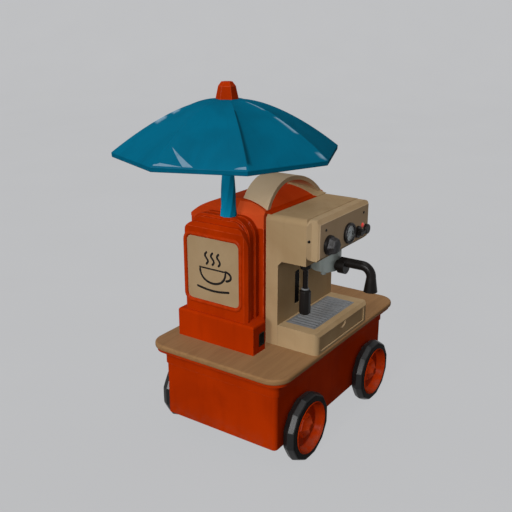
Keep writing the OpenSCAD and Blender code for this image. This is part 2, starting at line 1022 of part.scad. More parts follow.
// Upright window in the column's front wall
module level_slot(in) {
    along_y(col_y - (in > 0 ? 0 : cut), col_y + case_wall + (in > 0 ? 0 : cut))
        translate([mach_x - level_off, (tray_top + head_z) / 2 - level_drop])
            rounded_rect(level_w - 2 * in, level_h - 2 * in, level_r - in);
}

module level_glass() {
    color(black)
        level_slot(fit);
}

// Control nose: a chamfered flange against the head, then a narrower nose with bevelled edges
module fascia() {
    z0 = head_z + 10;
    z1 = mach_top;
    bevel = 9;
    corner = 18;
    flange = 8;
    edge = 4;
    x0 = mach_x0 + flange;
    x1 = mach_x1 - flange;
    color(beige)
        difference() {
            intersection() {
                along_y(fascia_y, head_y)
                    translate([mach_x, (z0 + z1) / 2])
                        rounded_rect(mach_w, z1 - z0, corner);
                along_x(mach_x0, mach_x1)
                    polygon([
                        [head_y, z0], [head_y, z1], [fascia_y + bevel, z1], [fascia_y, z1 - bevel],
                        [fascia_y, z0 + bevel], [fascia_y + bevel, z0]]);
                linear_extrude(2 * mach_top)
                    polygon([
                        [mach_x0, head_y], [mach_x1, head_y], [x1, head_y - flange], [x1, fascia_y + edge],
                        [x1 - edge, fascia_y], [x0 + edge, fascia_y], [x0, fascia_y + edge],
                        [x0, head_y - flange]]);
            }
            for (c = [[steam_x, steam_z, stem_r], [temp_x, temp_z, stem_r], [gauge_x, gauge_z, gauge_body_r],
                    [lamp_x, lamp_z, lamp_r], [button_x, button_z, button_d / 2 + gap]])
                bar_y(c.x, c.y, fascia_y - cut, head_y + cut, c.z + fit);
        }
}

// Rear casing, open on top, with a window to the head
module rear_housing() {
    color(red)
        difference() {
            box([rear_x0, back_y, deck], [mach_x1, rear_y, lid_z]);
            box([inner_x0, inner_y0, deck + case_wall], [inner_x1, inner_y1, lid_z + cut]);
            box([mach_x0 + 8, back_y - cut, deck + 40], [mach_x1 - 8, inner_y0 + cut, lid_z - 8]);
        }
}

// Y-Z outline of the tank lid, its crown moved down by a wall
module lid_outline(in) {
    y0 = back_y + gap + in;
    y1 = rear_y - in;
    corner = lid_corner_r - in;
    intersection() {
        translate([lid_crown_y, lid_top - lid_crown_r])
            circle(lid_crown_r - in, $fn = 128);
        union() {
            translate([y0, lid_z])
                square([y1 - corner - y0, lid_h]);
            translate([y1 - corner, lid_z])
                square([corner, lid_edge_h]);
            translate([y1 - corner, lid_z + lid_edge_h])
                intersection() {
                    circle(corner);
                    square(corner);
                }
        }
    }
}

// One side of the strap handle's arch in X-Z, from its apex to its foot, grown by a clearance
module half_arch(half, side, grow) {
    r = arch_r(half);
    intersection() {
        difference() {
            translate([strap_x, strap_top - r])
                circle(r + grow, $fn = 128);
            translate([strap_x, strap_top - r])
                circle(r - strap_t - grow, $fn = 128);
        }
        translate([side > 0 ? strap_x : strap_x - 2 * half, lid_z])
            square([2 * half, lid_h + 2 * strap_rise]);
    }
}

module strap(grow) {
    difference() {
        along_y(strap_y - strap_w / 2 - grow, strap_y + strap_w / 2 + grow)
            union() {
                half_arch(strap_left, -1, grow);
                half_arch(strap_right, 1, grow);
            }
        along_x(rear_x0 - strap_right, mach_x1 + strap_right)
            translate([lid_crown_y, lid_top - lid_crown_r])
                circle(lid_crown_r - strap_sink, $fn = 128);
    }
}

module tank_lid() {
    chamfer = 10;
    sign_cut = 20;
    sign_drop = 26;
    color(red)
        difference() {
            union() {
                intersection() {
                    along_x(rear_x0, mach_x1)
                        lid_outline(0);
                    along_y(back_y, rear_y)
                        polygon([
                            [rear_x0, lid_z], [rear_x0, lid_top - sign_drop], [rear_x0 + sign_cut, lid_top],
                            [mach_x1 - chamfer, lid_top], [mach_x1, lid_top - 2 * chamfer], [mach_x1, lid_z]]);
                }
                box([inner_x0 + gap, inner_y0 + gap, lid_z - lip_h],
                    [inner_x1 - gap, inner_y1 - gap, lid_z + cut]);
            }
            along_x(rear_x0 + 2 * lid_wall, mach_x1 - 2 * lid_wall)
                lid_outline(lid_wall);
            box([inner_x0 + 2 * lid_wall, inner_y0 + lid_wall, lid_z - lip_h - cut],
                [inner_x1 - 2 * lid_wall, inner_y1 - lid_wall, lid_z + cut]);
            strap(gap / 2);
        }
}

module lid_handle() {
    color(beige)
        strap(0);
}

// Inside the machine

module water_tank() {
    color("white")
        difference() {
            box([tank_x0, tank_y0, deck + case_wall], [tank_x1, tank_y1, tank_top]);
            box([tank_x0 + tank_wall, tank_y0 + tank_wall, deck + case_wall + tank_wall],
                [tank_x1 - tank_wall, tank_y1 - tank_wall, tank_top + cut]);
            bar_x(pump_y, pump_z, tank_x0 - cut, tank_x0 + tank_wall + cut, pipe_r - 1);
        }
}

module pump() {
    color(steel)
        union() {
            bar_x(pump_y, pump_z, pump_x0, pump_x1, pump_r);
            bar_x(pump_y, pump_z, pump_x0 - pump_nose, pump_x1 + pump_nose, pump_r / 2);
            for (x = [pump_x0 + pump_foot_in, pump_x1 - pump_foot_in - pump_foot])
                box([x, pump_y - pump_r, deck + case_wall], [x + pump_foot, pump_y + pump_r, pump_z]);
        }
}

module water_pipes() {
    feed_x = mach_x0 + feed_in;
    feed_z = boiler_z - boiler_r / 2;
    feed_y = boiler_y + feed_back;
    color(copper) {
        pipe([[pump_x1 + pump_nose, pump_y, pump_z], [tank_x0, pump_y, pump_z]], pipe_r);
        pipe([[pump_x0 - pump_nose, pump_y, pump_z], [feed_x, pump_y, pump_z], [feed_x, pump_y, feed_z],
            [feed_x, feed_y, feed_z], [-boiler_l / 2, feed_y, feed_z]], pipe_r);
    }
}

// Boiler with its group boss and gauge port
module boiler() {
    color(copper)
        union() {
            bar_x(boiler_y, boiler_z, -boiler_l / 2, boiler_l / 2, boiler_r);
            for (x = [-boiler_l / 2 + boiler_flange_t, boiler_l / 2 - 2 * boiler_flange_t])
                bar_x(boiler_y, boiler_z, x, x + boiler_flange_t, boiler_r + boiler_flange_w);
            translate([group_x, group_y, boss_z])
                cylinder(r = neck_r, h = boiler_z - boss_z);
            bar_y(gauge_x, gauge_z, gauge_back, boiler_y, stem_r);
        }
}

// Steam valve behind the knob, fed from the boiler, with a drop to the wand
module steam_line() {
    rear = head_y + valve_l;
    take_z = boiler_z + boiler_r / 2;
    take_y = boiler_y + take_back;
    drop_y = head_y + drop_in;
    color(copper)
        difference() {
            union() {
                bar_y(steam_x, steam_z, head_y, rear, valve_r);
                pipe([[-boiler_l / 2, take_y, take_z], [steam_x, take_y, take_z], [steam_x, take_y, steam_z],
                    [steam_x, rear - cut, steam_z]], pipe_r);
                pipe([[steam_x, drop_y, steam_z], [steam_x, drop_y, boss_z], [wand_x, drop_y, boss_z],
                    [wand_x, wand_y, boss_z], [wand_x, wand_y, head_z]], pipe_r);
            }
            bar_y(steam_x, steam_z, head_y - cut, head_y + steam_stem_in + cut, stem_r + fit);
        }
}

// Bayonet group: a round socket with a groove for the ears and two gates
module group_head() {
    bore = rim_fit_r + gap;
    groove = rim_fit_r + ear_out + gap;
    color(steel)
        translate([group_x, group_y, 0])
            difference() {
                union() {
                    translate([0, 0, group_z])
                        cylinder(r = group_d / 2, h = group_h);
                    translate([0, 0, head_z - cut])
                        cylinder(r = neck_r, h = boss_z - head_z + cut);
                }
                translate([0, 0, group_z - cut])
                    cylinder(r = bore, h = group_bore_h + cut);
                translate([0, 0, ear_z - gap])
                    cylinder(r = groove, h = ear_h + 2 * gap);
                for (a = [0, 180])
                    rotate(a - lock_turn)
                        intersection() {
                            translate([0, -ear_w / 2 - gate_slack, group_z - cut])
                                cube([group_d, ear_w + 2 * gate_slack, ear_rise + 2 * cut]);
                            translate([0, 0, group_z - cut])
                                cylinder(r = groove, h = group_h);
                        }
            }
}

module shower_screen() {
    ring = basket_r * 0.55;
    color(steel)
        translate([group_x, group_y, group_z + group_bore_h - screen_t])
            difference() {
                cylinder(r = basket_r - screen_in, h = screen_t);
                for (a = [0 : 30 : 330])
                    rotate(a)
                        translate([ring, 0, -cut])
                            cylinder(r = 1.5, h = screen_t + 2 * cut, $fn = 16);
            }
}

// Filter holder: rim with two bayonet ears, round body and twin spout
module portafilter_body() {
    spout_z = filter_z - spout_l;
    color(steel)
        translate([group_x, group_y, 0])
            difference() {
                union() {
                    translate([0, 0, filter_z])
                        cylinder(r = filter_r, h = filter_h);
                    translate([0, 0, filter_z])
                        cylinder(r = rim_fit_r, h = rim_z - filter_z);
                    intersection() {
                        translate([0, 0, ear_z])
                            cylinder(r = rim_fit_r + ear_out, h = ear_h);
                        translate([-group_d, -ear_w / 2, ear_z])
                            cube([2 * group_d, ear_w, ear_h]);
                    }
                    translate([0, 0, filter_z - 6])
                        cylinder(r1 = 12, r2 = 18, h = 6);
                    for (s = [-1, 1])
                        translate([s * spout_x, 0, spout_z])
                            cylinder(r = spout_r, h = spout_l);
                }
                translate([0, 0, filter_z + filter_floor])
                    cylinder(r = basket_r + fit, h = filter_h + group_h);
                translate([0, 0, rim_z - basket_lip])
                    cylinder(r = basket_r + basket_lip + 2 * fit, h = basket_lip + cut);
                for (s = [-1, 1])
                    translate([s * spout_x, 0, spout_z - cut])
                        cylinder(r = spout_bore_r, h = spout_l + filter_floor + 2 * cut);
            }
}

// Thin cup with a rolled rim, hung in the filter holder
module filter_basket() {
    base_z = filter_z + basket_rise;
    wall = 1;
    color(steel)
        translate([group_x, group_y, 0])
            difference() {
                union() {
                    translate([0, 0, base_z])
                        cylinder(r = basket_r, h = rim_z - base_z);
                    translate([0, 0, rim_z - basket_lip])
                        cylinder(r = basket_r + basket_lip, h = basket_lip);
                }
                translate([0, 0, base_z + wall])
                    cylinder(r = basket_r - wall, h = filter_h + group_h);
                for (a = [0 : 45 : 315])
                    rotate(a)
                        translate([basket_r * 0.6, 0, base_z - cut])
                            cylinder(r = 1.2, h = 3, $fn = 16);
            }
}

// Black handle that runs forward, bends and hangs down
module portafilter_handle() {
    run_y = group_y - grip_reach + bend_r;
    root_y = group_y - filter_r + 6;
    neck_y = group_y - group_d / 2 - neck_gap;
    tube_z = grip_z + neck_rise;
    color(black)
        difference() {
            union() {
                bar_y(group_x, grip_z, group_y - filter_r - 14, root_y, grip_r + 2);
                bar_y(group_x, grip_z, neck_y - neck_l, neck_y, grip_r + 6);
                bar_y(group_x, tube_z, run_y, neck_y - 2, grip_r - 1);
                translate([group_x, run_y, tube_z - bend_r])
                    rotate([90, 0, 90])
                        rotate(90)
                            rotate_extrude(angle = 90)
                                translate([bend_r, 0])
                                    circle(grip_r - 1);
                translate([group_x, group_y - grip_reach, tube_z - bend_r - grip_drop])
                    cylinder(r1 = grip_r + 4, r2 = grip_r - 1, h = grip_drop);
            }
            translate([group_x, group_y, filter_z - cut])
                cylinder(r = filter_r + gap, h = filter_h + 2 * cut);
        }
}

// Ball socket under the head, cut open in front for the wand's swing
module wand_socket() {
    color(steel)
        translate([wand_x, wand_y, 0])
            difference() {
                translate([0, 0, ball_z - 2])
                    cylinder(r = wand_socket_r, h = head_z - ball_z + 2);
                translate([0, 0, ball_z])
                    sphere(ball_r + fit);
                translate([0, 0, ball_z - 6])
                    cylinder(r1 = ball_r + 3, r2 = ball_r - 1, h = 6);
                along_x(-wand_d, wand_d)
                    polygon([[0, ball_z], [-3 * wand_socket_r, ball_z], [-3 * wand_socket_r, ball_z - 9],
                        [0, ball_z - 9]]);
            }
}

module steam_wand() {
    color(black)
        translate([wand_x, wand_y, ball_z]) {
            sphere(ball_r);
            translate([0, 0, -wand_l])
                cylinder(r = wand_d / 2, h = wand_l);
        }
}

// Heat sleeve with chamfered ends
module wand_sleeve() {
    z0 = ball_z - wand_l + gap;
    chamfer = 4;
    bore_r = wand_d / 2 + fit;
    color(black)
        translate([wand_x, wand_y, z0])
            rotate_extrude()
                polygon([
                    [bore_r, 0], [sleeve_r - chamfer, 0], [sleeve_r, chamfer],
                    [sleeve_r, sleeve_l - chamfer], [sleeve_r - chamfer, sleeve_l], [bore_r, sleeve_l]]);
}

// Controls

// Knob with lobes on a round skirt, with its stem through the fascia
module knob(x, z, d, length, lobes, stem_l) {
    r = d / 2;
    skirt = length / 3;
    color(black)
        union() {
            bar_y(x, z, fascia_y - gap - skirt, fascia_y - gap, r);
            translate([x, fascia_y - gap - skirt, z])
                rotate([90, 0, 0])
                    linear_extrude(length - skirt)
                        for (i = [0 : lobes - 1])
                            rotate(i * 360 / lobes)
                                translate([0, -r / 4])
                                    square([r * 0.86, r / 2]);
            bar_y(x, z, fascia_y - gap - length + 2, fascia_y - gap - skirt, r * 0.6);
            bar_y(x, z, fascia_y - gap - skirt, fascia_y - gap + stem_l, stem_r);
        }
}

module steam_knob() {
    knob(steam_x, steam_z, steam_knob_d, steam_knob_l, 5, fascia_t + steam_stem_in);
}

module temp_knob() {
    knob(temp_x, temp_z, temp_knob_d, temp_knob_l, 2, fascia_t + case_wall);
}

module brew_switch() {
    size = button_d / 2 + switch_wall;
    color(black)
        box([button_x - size, head_y + case_wall, button_z - size],
            [button_x + size, head_y + switch_d, button_z + size]);
}

module brew_button() {
    proud = 8;
    r = button_d / 2;
    y1 = head_y + case_wall - button_travel - gap;
    color(black)
        translate([button_x, fascia_y - proud, button_z])
            rotate([-90, 0, 0])
                rotate_extrude()
                    polygon([[0, 1], [r - 5, 0], [r - 1.5, 0], [r, 1.5], [r, y1 - fascia_y + proud],
                        [0, y1 - fascia_y + proud]]);
}

module pilot_lamp() {
    color(red)
        translate([lamp_x, fascia_y - 4, lamp_z])
            rotate([-90, 0, 0])
                rotate_extrude()
                    polygon([[0, 0], [lamp_r - 2, 0.6], [lamp_r + 1, 3], [lamp_r + 1, 4], [lamp_r, 4],
                        [lamp_r, fascia_t + case_wall], [0, fascia_t + case_wall]]);
}

// Gauge

module gauge_case() {
    proud = 8;
    deep = gauge_back - fascia_y;
    color(black)
        translate([gauge_x, fascia_y - proud, gauge_z])
            rotate([-90, 0, 0])
                rotate_extrude()
                    polygon([
                        [gauge_r - 5, 0], [gauge_r - 1.5, 0], [gauge_r, 1.5], [gauge_r, proud],
                        [gauge_body_r, proud], [gauge_body_r, proud + deep], [0, proud + deep],
                        [0, proud + 2], [gauge_body_r - 2, proud + 2], [gauge_body_r - 2, 3],
                        [gauge_r - 5, 3]]);
}

module gauge_dial() {
    color(steel)
        difference() {
            bar_y(gauge_x, gauge_z, fascia_y, fascia_y + 2, gauge_body_r - 2 - fit);
            bar_y(gauge_x, gauge_z, fascia_y - cut, fascia_y + 2 + cut, 2 + fit);
        }
}

module gauge_needle() {
    reach = gauge_body_r - 6;
    color(black)
        union() {
            bar_y(gauge_x, gauge_z, fascia_y - 2, fascia_y + 2 - fit, 2);
            along_y(fascia_y - 2, fascia_y - 1)
                translate([gauge_x, gauge_z])
                    rotate(225)
                        polygon([[-5, -1.4], [-5, 1.4], [reach, 0.5], [reach, -0.5]]);
        }
}

module gauge_glass() {
    color("white")
        bar_y(gauge_x, gauge_z, fascia_y - 5, fascia_y - 3, gauge_body_r - 2 - fit);
}

base_tub();
cornice();
counter_slab();
deck_bolts();
axle_front();
axle_rear();
axle_bushes();
axle_caps();
wheel_front_left();
wheel_front_right();
wheel_rear_left();
wheel_rear_right();
tyre_front_left();
tyre_front_right();
tyre_rear_left();
tyre_rear_right();
sign_plinth();
sign_case();
sign_bezel();
sign_panel();
mast_socket();
socket_bush();
mast();
canopy_hub();
canopy_ribs();
canopy_shell();
finial();
tray_base();
drip_drawer();
drip_grate();
front_shell();
level_glass();
fascia();
rear_housing();
tank_lid();
lid_handle();
water_tank();
pump();
water_pipes();
boiler();
steam_line();
group_head();
shower_screen();
portafilter_body();
filter_basket();
portafilter_handle();
wand_socket();
steam_wand();
wand_sleeve();
steam_knob();
temp_knob();
brew_switch();
brew_button();
pilot_lamp();
gauge_case();
gauge_dial();
gauge_needle();
gauge_glass();
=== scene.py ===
"""Looks of the coffee cart: softened casings, the parasol's sheet, the sign's picture and the materials."""

import json
import math

import bmesh
import bpy
from bpy.props import FloatProperty, FloatVectorProperty, PointerProperty
from bpy.types import Operator, Panel, PropertyGroup
from mathutils import Matrix, Vector


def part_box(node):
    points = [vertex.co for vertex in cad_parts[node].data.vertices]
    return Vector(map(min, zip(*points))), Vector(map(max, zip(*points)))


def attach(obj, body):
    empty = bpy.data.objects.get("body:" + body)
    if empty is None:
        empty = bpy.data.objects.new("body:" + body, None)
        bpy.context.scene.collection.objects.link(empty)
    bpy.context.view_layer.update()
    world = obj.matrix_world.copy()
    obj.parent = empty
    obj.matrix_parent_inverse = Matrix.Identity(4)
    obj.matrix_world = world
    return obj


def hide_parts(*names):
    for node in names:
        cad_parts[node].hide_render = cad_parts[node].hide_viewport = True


bl_info = {
    "name": "Coffee Cart",
    "version": (1, 0, 0),
    "blender": (4, 5, 0),
    "location": "3D View > Sidebar > Coffee Cart",
    "description": "Finishes a coffee cart: soft edges, a parasol sheet, a sign picture and worn materials",
    "category": "Object",
}

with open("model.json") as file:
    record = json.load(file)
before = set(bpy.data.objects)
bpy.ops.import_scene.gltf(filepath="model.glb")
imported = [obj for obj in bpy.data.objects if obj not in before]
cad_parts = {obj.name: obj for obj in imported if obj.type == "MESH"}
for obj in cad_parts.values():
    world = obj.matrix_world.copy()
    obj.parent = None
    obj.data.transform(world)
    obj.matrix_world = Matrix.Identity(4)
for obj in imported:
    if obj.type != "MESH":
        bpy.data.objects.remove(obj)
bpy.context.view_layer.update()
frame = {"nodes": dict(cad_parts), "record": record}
NODE_BODY = {node: body for body, nodes in frame["record"]["behaviour"]["bodies"].items() for node in nodes}
NODE_SLOT = {part["node"]: part["material_slot"] for part in frame["record"]["subparts"]}
MM = 0.001
ORDER = Vector((0.618, 0.325, 0.713))  # direction along which cut meshes are sorted, so that each run is the same


def linear(code):
    """Linear colour of a six-digit sRGB code."""
    values = [int(code[i:i + 2], 16) / 255 for i in (0, 2, 4)]
    return tuple(v / 12.92 if v <= 0.04045 else ((v + 0.055) / 1.055) ** 2.4 for v in values)


def colour(name, description, code):
    return FloatVectorProperty(name=name, description=description, subtype="COLOR", size=3, min=0, max=1,
                               default=linear(code))


def length(name, description, millimetres):
    return FloatProperty(name=name, description=description, unit="LENGTH", min=0, default=millimetres * MM)


def amount(name, description, value):
    return FloatProperty(name=name, description=description, min=0, default=value)


def rotation(name, description, degrees):
    return FloatProperty(name=name, description=description, unit="ROTATION", default=math.radians(degrees))


class CartColours(PropertyGroup):
    """Colours of the cart's finishes."""

    red: colour("Red", "Lacquer on the base, the sign and the rear housing", "AB3002")
    red_deep: colour("Deep red", "Shaded clouds in the red lacquer", "821F01")
    # pale red for rubbed edges and scratches, and for painted highlight and painted light where a piece carries
    # it
    red_wear_and_highlight: colour("Worn red", "Rubbed edges of the red lacquer", "D8582C")
    beige: colour("Beige", "Casing of the machine", "AA926F")
    beige_deep: colour("Deep beige", "Shaded clouds in the beige casing", "8C714E")
    # pale beige for rubbed edges and scratches, and for painted highlight, painted sheen and painted light where
    # a piece carries it
    beige_wear_and_highlight: colour("Worn beige", "Rubbed edges of the beige casing", "C4AE90")
    panel: colour("Panel", "Board of the sign", "A48D6D")
    counter: colour("Counter", "Top of the counter", "92704C")
    counter_deep: colour("Counter grain", "Darker grain of the counter", "745438")
    counter_worn: colour("Counter edge", "Rubbed edge of the counter", "B48C60")
    teal: colour("Teal", "Parasol's sheet", "056280")
    teal_deep: colour("Deep teal", "Shaded clouds in the parasol's sheet", "07506A")
    # pale teal: painted highlights on the parasol's sheet, along ribs and in patches, and worn edges on the mast
    teal_pale: colour("Faded teal", "Faded patches and seams of the sheet", "7F9DB2")
    mast: colour("Mast", "Paint on the mast", "0888B0")
    black: colour("Black", "Knobs, handle and sleeve", "120F0D")
    black_worn: colour("Worn black", "Rubbed edges of black pieces", "5A5A5E")
    rubber: colour("Rubber", "Tyres", "0B0B0B")
    steel: colour("Steel", "Grate, bolts and axles", "7E8082")
    bright: colour("Bright steel", "Group and filter holder", "8F9895")
    brass: colour("Brass", "Bushes and pipes", "A8823C")
    dial: colour("Dial", "Face of the gauge", "8C9494")
    lamp: colour("Lamp", "Lens of the pilot lamp", "D0200A")


class CartShape(PropertyGroup):
    """Sizes of what is modelled here."""

    case_edge: length("Case edge", "Rounding of the sign's plates", 3.0)
    shell_edge: length("Shell edge", "Rounding of the machine's casing", 2.5)
    metal_edge: length("Metal edge", "Rounding of turned metal pieces", 0.8)
    stroke: length("Stroke", "Width of the lines in the sign's picture", 5.6)
    crown_flat: length("Crown flat", "Radius of the flat under the finial", 26.0)
    sheet: length("Sheet", "Thickness of the parasol's sheet", 3.0)
    hem: length("Hem", "Height of the parasol's hem band", 10.0)
    sag: length("Sag", "Dip of the sheet between two ribs", 2.2)
    lap: length("Lap", "Step where two gores overlap along a rib", 1.0)
    screw: length("Screw", "Radius of a screw's head", 3.2)
    slat: length("Slat", "Width of a slat of the drip grate", 9.2)
    boss: length("Boss", "Radius of a wheel's six-sided boss", 29.0)
    flange: length("Flange", "Reach of a wheel's rim over its tyre", 4.5)
    head: length("Head", "Rise of the sign's rounded head", 9.0)


class CartStudio(PropertyGroup):
    """Camera and light."""

    backdrop: colour("Backdrop", "Floor and background", "C0C1C3")
    key: amount("Key", "Strength of the low key lamp", 2.4)
    top: amount("Top", "Strength of the even light from above", 0.75)
    front: amount("Front", "Strength of the weak light from the barista's side", 0.04)
    back: amount("Back", "Strength of the light on the far sides", 0.8)
    world: amount("World", "Strength of the light from all round", 0.31)
    place: FloatVectorProperty(name="Camera", description="Place of the camera", subtype="TRANSLATION",
                               unit="LENGTH", default=(-1.4025, -0.8817, 0.904))
    heading: rotation("Heading", "Turn of the camera from the X axis", 34.33)
    tilt: rotation("Tilt", "How far the camera looks down", 18.37)
    lens: amount("Lens", "Focal length in millimetres", 50.0)


# Node trees and materials

def tint(key):
    """Linear colour of a colour property's name or of a six-digit code; other colours pass through."""
    if not isinstance(key, str):
        return key
    found = getattr(bpy.context.scene.cart_colours, key, None)
    return linear(key) if found is None else tuple(found)


class Value:
    """A float socket of a tree: its operators add Math nodes."""

    def __init__(self, tree, socket):
        self.tree = tree
        self.socket = socket

    def maths(self, operation, *terms):
        return self.tree.value("ShaderNodeMath", {"operation": operation}, dict(enumerate(terms)))

    def __add__(self, other):
        return self.maths("ADD", self, other)

    def __sub__(self, other):
        return self.maths("SUBTRACT", self, other)

    def __rsub__(self, other):
        return self.maths("SUBTRACT", other, self)

    def __mul__(self, other):
        return self.maths("MULTIPLY", self, other)

    __radd__ = __add__

    def most(self, other):
        return self.maths("MAXIMUM", self, other)

    def ramp(self, low, high):
        """0 at low, 1 at high, with soft ends."""
        return self.tree.value("ShaderNodeMapRange", {"interpolation_type": "SMOOTHSTEP"},
                               {"Value": self, "From Min": low, "From Max": high})


class Tree:
    """A node tree, written as calls."""

    def __init__(self, tree):
        self.tree = tree

    def node(self, kind, settings=None, inputs=None, output=0):
        """Adds a node: settings first, then socket values or links. Gives one of its outputs."""
        made = self.tree.nodes.new(kind)
        for key, setting in (settings or {}).items():
            setattr(made, key, setting)
        for key, given in (inputs or {}).items():
            socket = made.inputs[key]
            if isinstance(given, Value):
                given = given.socket
            if isinstance(given, bpy.types.NodeSocket):
                self.tree.links.new(given, socket)
            elif isinstance(given, tuple) and len(given) == 3 and socket.type == "RGBA":
                socket.default_value = (*given, 1.0)
            else:
                socket.default_value = given
        return made.outputs[output] if len(made.outputs) else None

    def value(self, kind, settings=None, inputs=None, output=0):
        return Value(self, self.node(kind, settings, inputs, output))

    def mix(self, first, second, factor):
        return self.node("ShaderNodeMix", {"data_type": "RGBA"}, {0: factor, 6: tint(first), 7: tint(second)}, 2)

    def direct(self):
        """1 for rays from the camera, from a mirror or through glass, 0 for others."""
        camera, glossy, through = (self.value("ShaderNodeLightPath", output="Is %s Ray" % kind)
                                   for kind in ("Camera", "Glossy", "Transmission"))
        return camera.most(glossy).most(through)


class Shade(Tree):
    """One procedural material, written as maths on object coordinates."""

    def __init__(self, name):
        self.material = bpy.data.materials.new(name)
        self.material.use_nodes = True
        super().__init__(self.material.node_tree)
        self.tree.nodes.clear()
        self.place = self.node("ShaderNodeTexCoord", output="Object")

    def noise(self, scale, detail=3.0, stretch=None, vector=None, distortion=0.0):
        """Cloud noise from 0 to 1; stretch scales each axis."""
        vector = vector or self.place
        if stretch:
            vector = self.node("ShaderNodeMapping", None, {"Vector": vector, "Scale": stretch})
        return self.value("ShaderNodeTexNoise", None, {"Vector": vector, "Scale": scale, "Detail": detail,
                                                       "Distortion": distortion})

    def spots(self, scale):
        """Distance to the nearest of scattered points."""
        return self.value("ShaderNodeTexVoronoi", None, {"Vector": self.place, "Scale": scale}, "Distance")

    def axis(self, name):
        return self.value("ShaderNodeSeparateXYZ", None, {"Vector": self.place}, name)

    def named(self, attribute):
        """A number stored on the mesh."""
        return self.value("ShaderNodeAttribute", {"attribute_name": attribute}, None, "Fac")

    def bump(self, height, strength):
        return self.node("ShaderNodeBump", None, {"Height": height, "Strength": strength, "Distance": MM})

    def show(self, shader):
        self.node("ShaderNodeOutputMaterial", None, {"Surface": shader})
        return self.material

    def done(self, base, rough, constants=None, **varied):
        """Joins the shader and the output, and gives the material."""
        links = {"Base Color": base, "Roughness": rough}
        links.update({key.replace("_", " "): socket for key, socket in varied.items()})
        links.update(constants or {})
        return self.show(self.node("ShaderNodeBsdfPrincipled", None, links))


def lacquer(name, base, deep, worn, rough=0.4, coat=0.06, dust=False):
    """Brushed gloss paint: clouds, streaks, rubbed edges, a few fine scratches, and a pale tone painted where a
    piece carries painted light, as painted highlight and as painted light on faces in shade.
    """
    shade = Shade(name)
    cloud = shade.noise(6.5, 4.0, distortion=0.6).ramp(0.36, 0.72)
    streak = shade.noise(1.0, 4.0, (46.0, 46.0, 7.0)).ramp(0.48, 0.78)
    tone = shade.mix(base, deep, cloud * 0.42)
    tone = shade.mix(tone, deep, streak * 0.26)
    rubbed = shade.named("edge") * shade.noise(70.0, 3.0).ramp(0.36, 0.62)
    scratch = shade.noise(1.0, 2.0, (9.0, 260.0, 300.0)).ramp(0.70, 0.76) * shade.noise(11.0).ramp(0.52, 0.66)
    # painted highlight and painted light on faces in shade: the pale tone where a piece asks for it
    painted_light_mask = shade.named("rub") * (0.9 - cloud * 0.3)
    tone = shade.mix(tone, worn, (rubbed * 0.6).most(scratch * 0.3).most(painted_light_mask))
    smudge = shade.noise(14.0, 5.0)
    if dust:
        low = shade.axis("Z").ramp(0.05, -0.05) * shade.noise(60.0, 4.0).ramp(0.3, 0.75)
        tone = shade.mix(tone, "6B5A4C", low * 0.35)
        smudge = smudge + low * 0.4
    grain = shade.noise(420.0, 2.0) * 0.35 + shade.noise(26.0, 3.0)
    return shade.done(tone, rough + (smudge - 0.5) * 0.26 + rubbed * 0.1,
                      {"Coat Roughness": 0.26, "Specular IOR Level": 0.0},
                      Coat_Weight=shade.named("edge") * 0.35 + coat, Normal=shade.bump(grain, 0.16))


def sign_face():
    shade = Shade("Sign board")
    cloud = shade.noise(16.0, 5.0).ramp(0.35, 0.75)
    fleck = shade.spots(520.0).ramp(0.16, 0.05)
    tone = shade.mix(shade.mix("panel", "beige_deep", cloud * 0.3), "beige_deep", fleck * 0.35)
    tone = shade.mix(tone, "beige_wear_and_highlight", shade.named("edge") * 0.5)
    return shade.done(tone, 0.5 + cloud * 0.15, {"Specular IOR Level": 0.0},
                      Normal=shade.bump(shade.noise(300.0, 3.0), 0.1))


def counter_wood():
    shade = Shade("Counter wood")
    grain = shade.noise(1.0, 6.0, (5.0, 62.0, 62.0), distortion=1.2)
    pores = shade.noise(1.0, 3.0, (26.0, 420.0, 420.0)).ramp(0.58, 0.72)
    tone = shade.mix("counter", "counter_deep", grain.ramp(0.38, 0.7) * 0.3)
    tone = shade.mix(tone, "counter_deep", pores * 0.25)
    rubbed = shade.named("edge") * shade.noise(40.0, 3.0).ramp(0.2, 0.6)
    tone = shade.mix(tone, "counter_worn", rubbed * 0.75)
    return shade.done(tone, 0.46 + (shade.noise(9.0, 4.0) - 0.5) * 0.25, {"Specular IOR Level": 0.02},
                      Normal=shade.bump(grain + pores * 0.5, 0.2))


def canopy_teal():
    """Woven sheet: the edge attribute marks the painted shade of a fold below 0 and painted highlights above it;
    the pale patches are painted highlights too.
    """
    shade = Shade("Parasol sheet")
    cloud = shade.noise(9.0, 5.0, distortion=0.8).ramp(0.36, 0.72)
    round_way = shade.node("ShaderNodeUVMap", {"uv_map": "sheet"})
    streak = shade.noise(1.0, 4.0, (150.0, 4.0, 1.0), round_way).ramp(0.5, 0.8)
    tone = shade.mix("teal", "teal_deep", cloud * 0.45)
    tone = shade.mix(tone, "teal_deep", streak * 0.3)
    seam = shade.named("edge")
    # pale patches of painted highlight near the hem
    faded = shade.named("faded") * shade.noise(34.0, 4.0).ramp(0.1, 0.5)
    # painted shade: a dark line along the fold of one rib
    tone = shade.mix(tone, "06303E", (0.0 - seam).most(0.0) * 0.8)
    # painted highlights: pale stretches along ribs and pale patches near the hem
    tone = shade.mix(tone, "teal_pale", (seam.most(0.0) * 0.8).most(faded * 0.7))
    weave = shade.noise(1.0, 2.0, (900.0, 260.0, 1.0), round_way)
    return shade.done(tone, 0.38 + cloud * 0.12 + faded * 0.1,
                      {"Specular IOR Level": 0.0, "Coat Weight": 0.01, "Coat Roughness": 0.22},
                      Normal=shade.bump(weave + shade.noise(30.0, 3.0), 0.14))


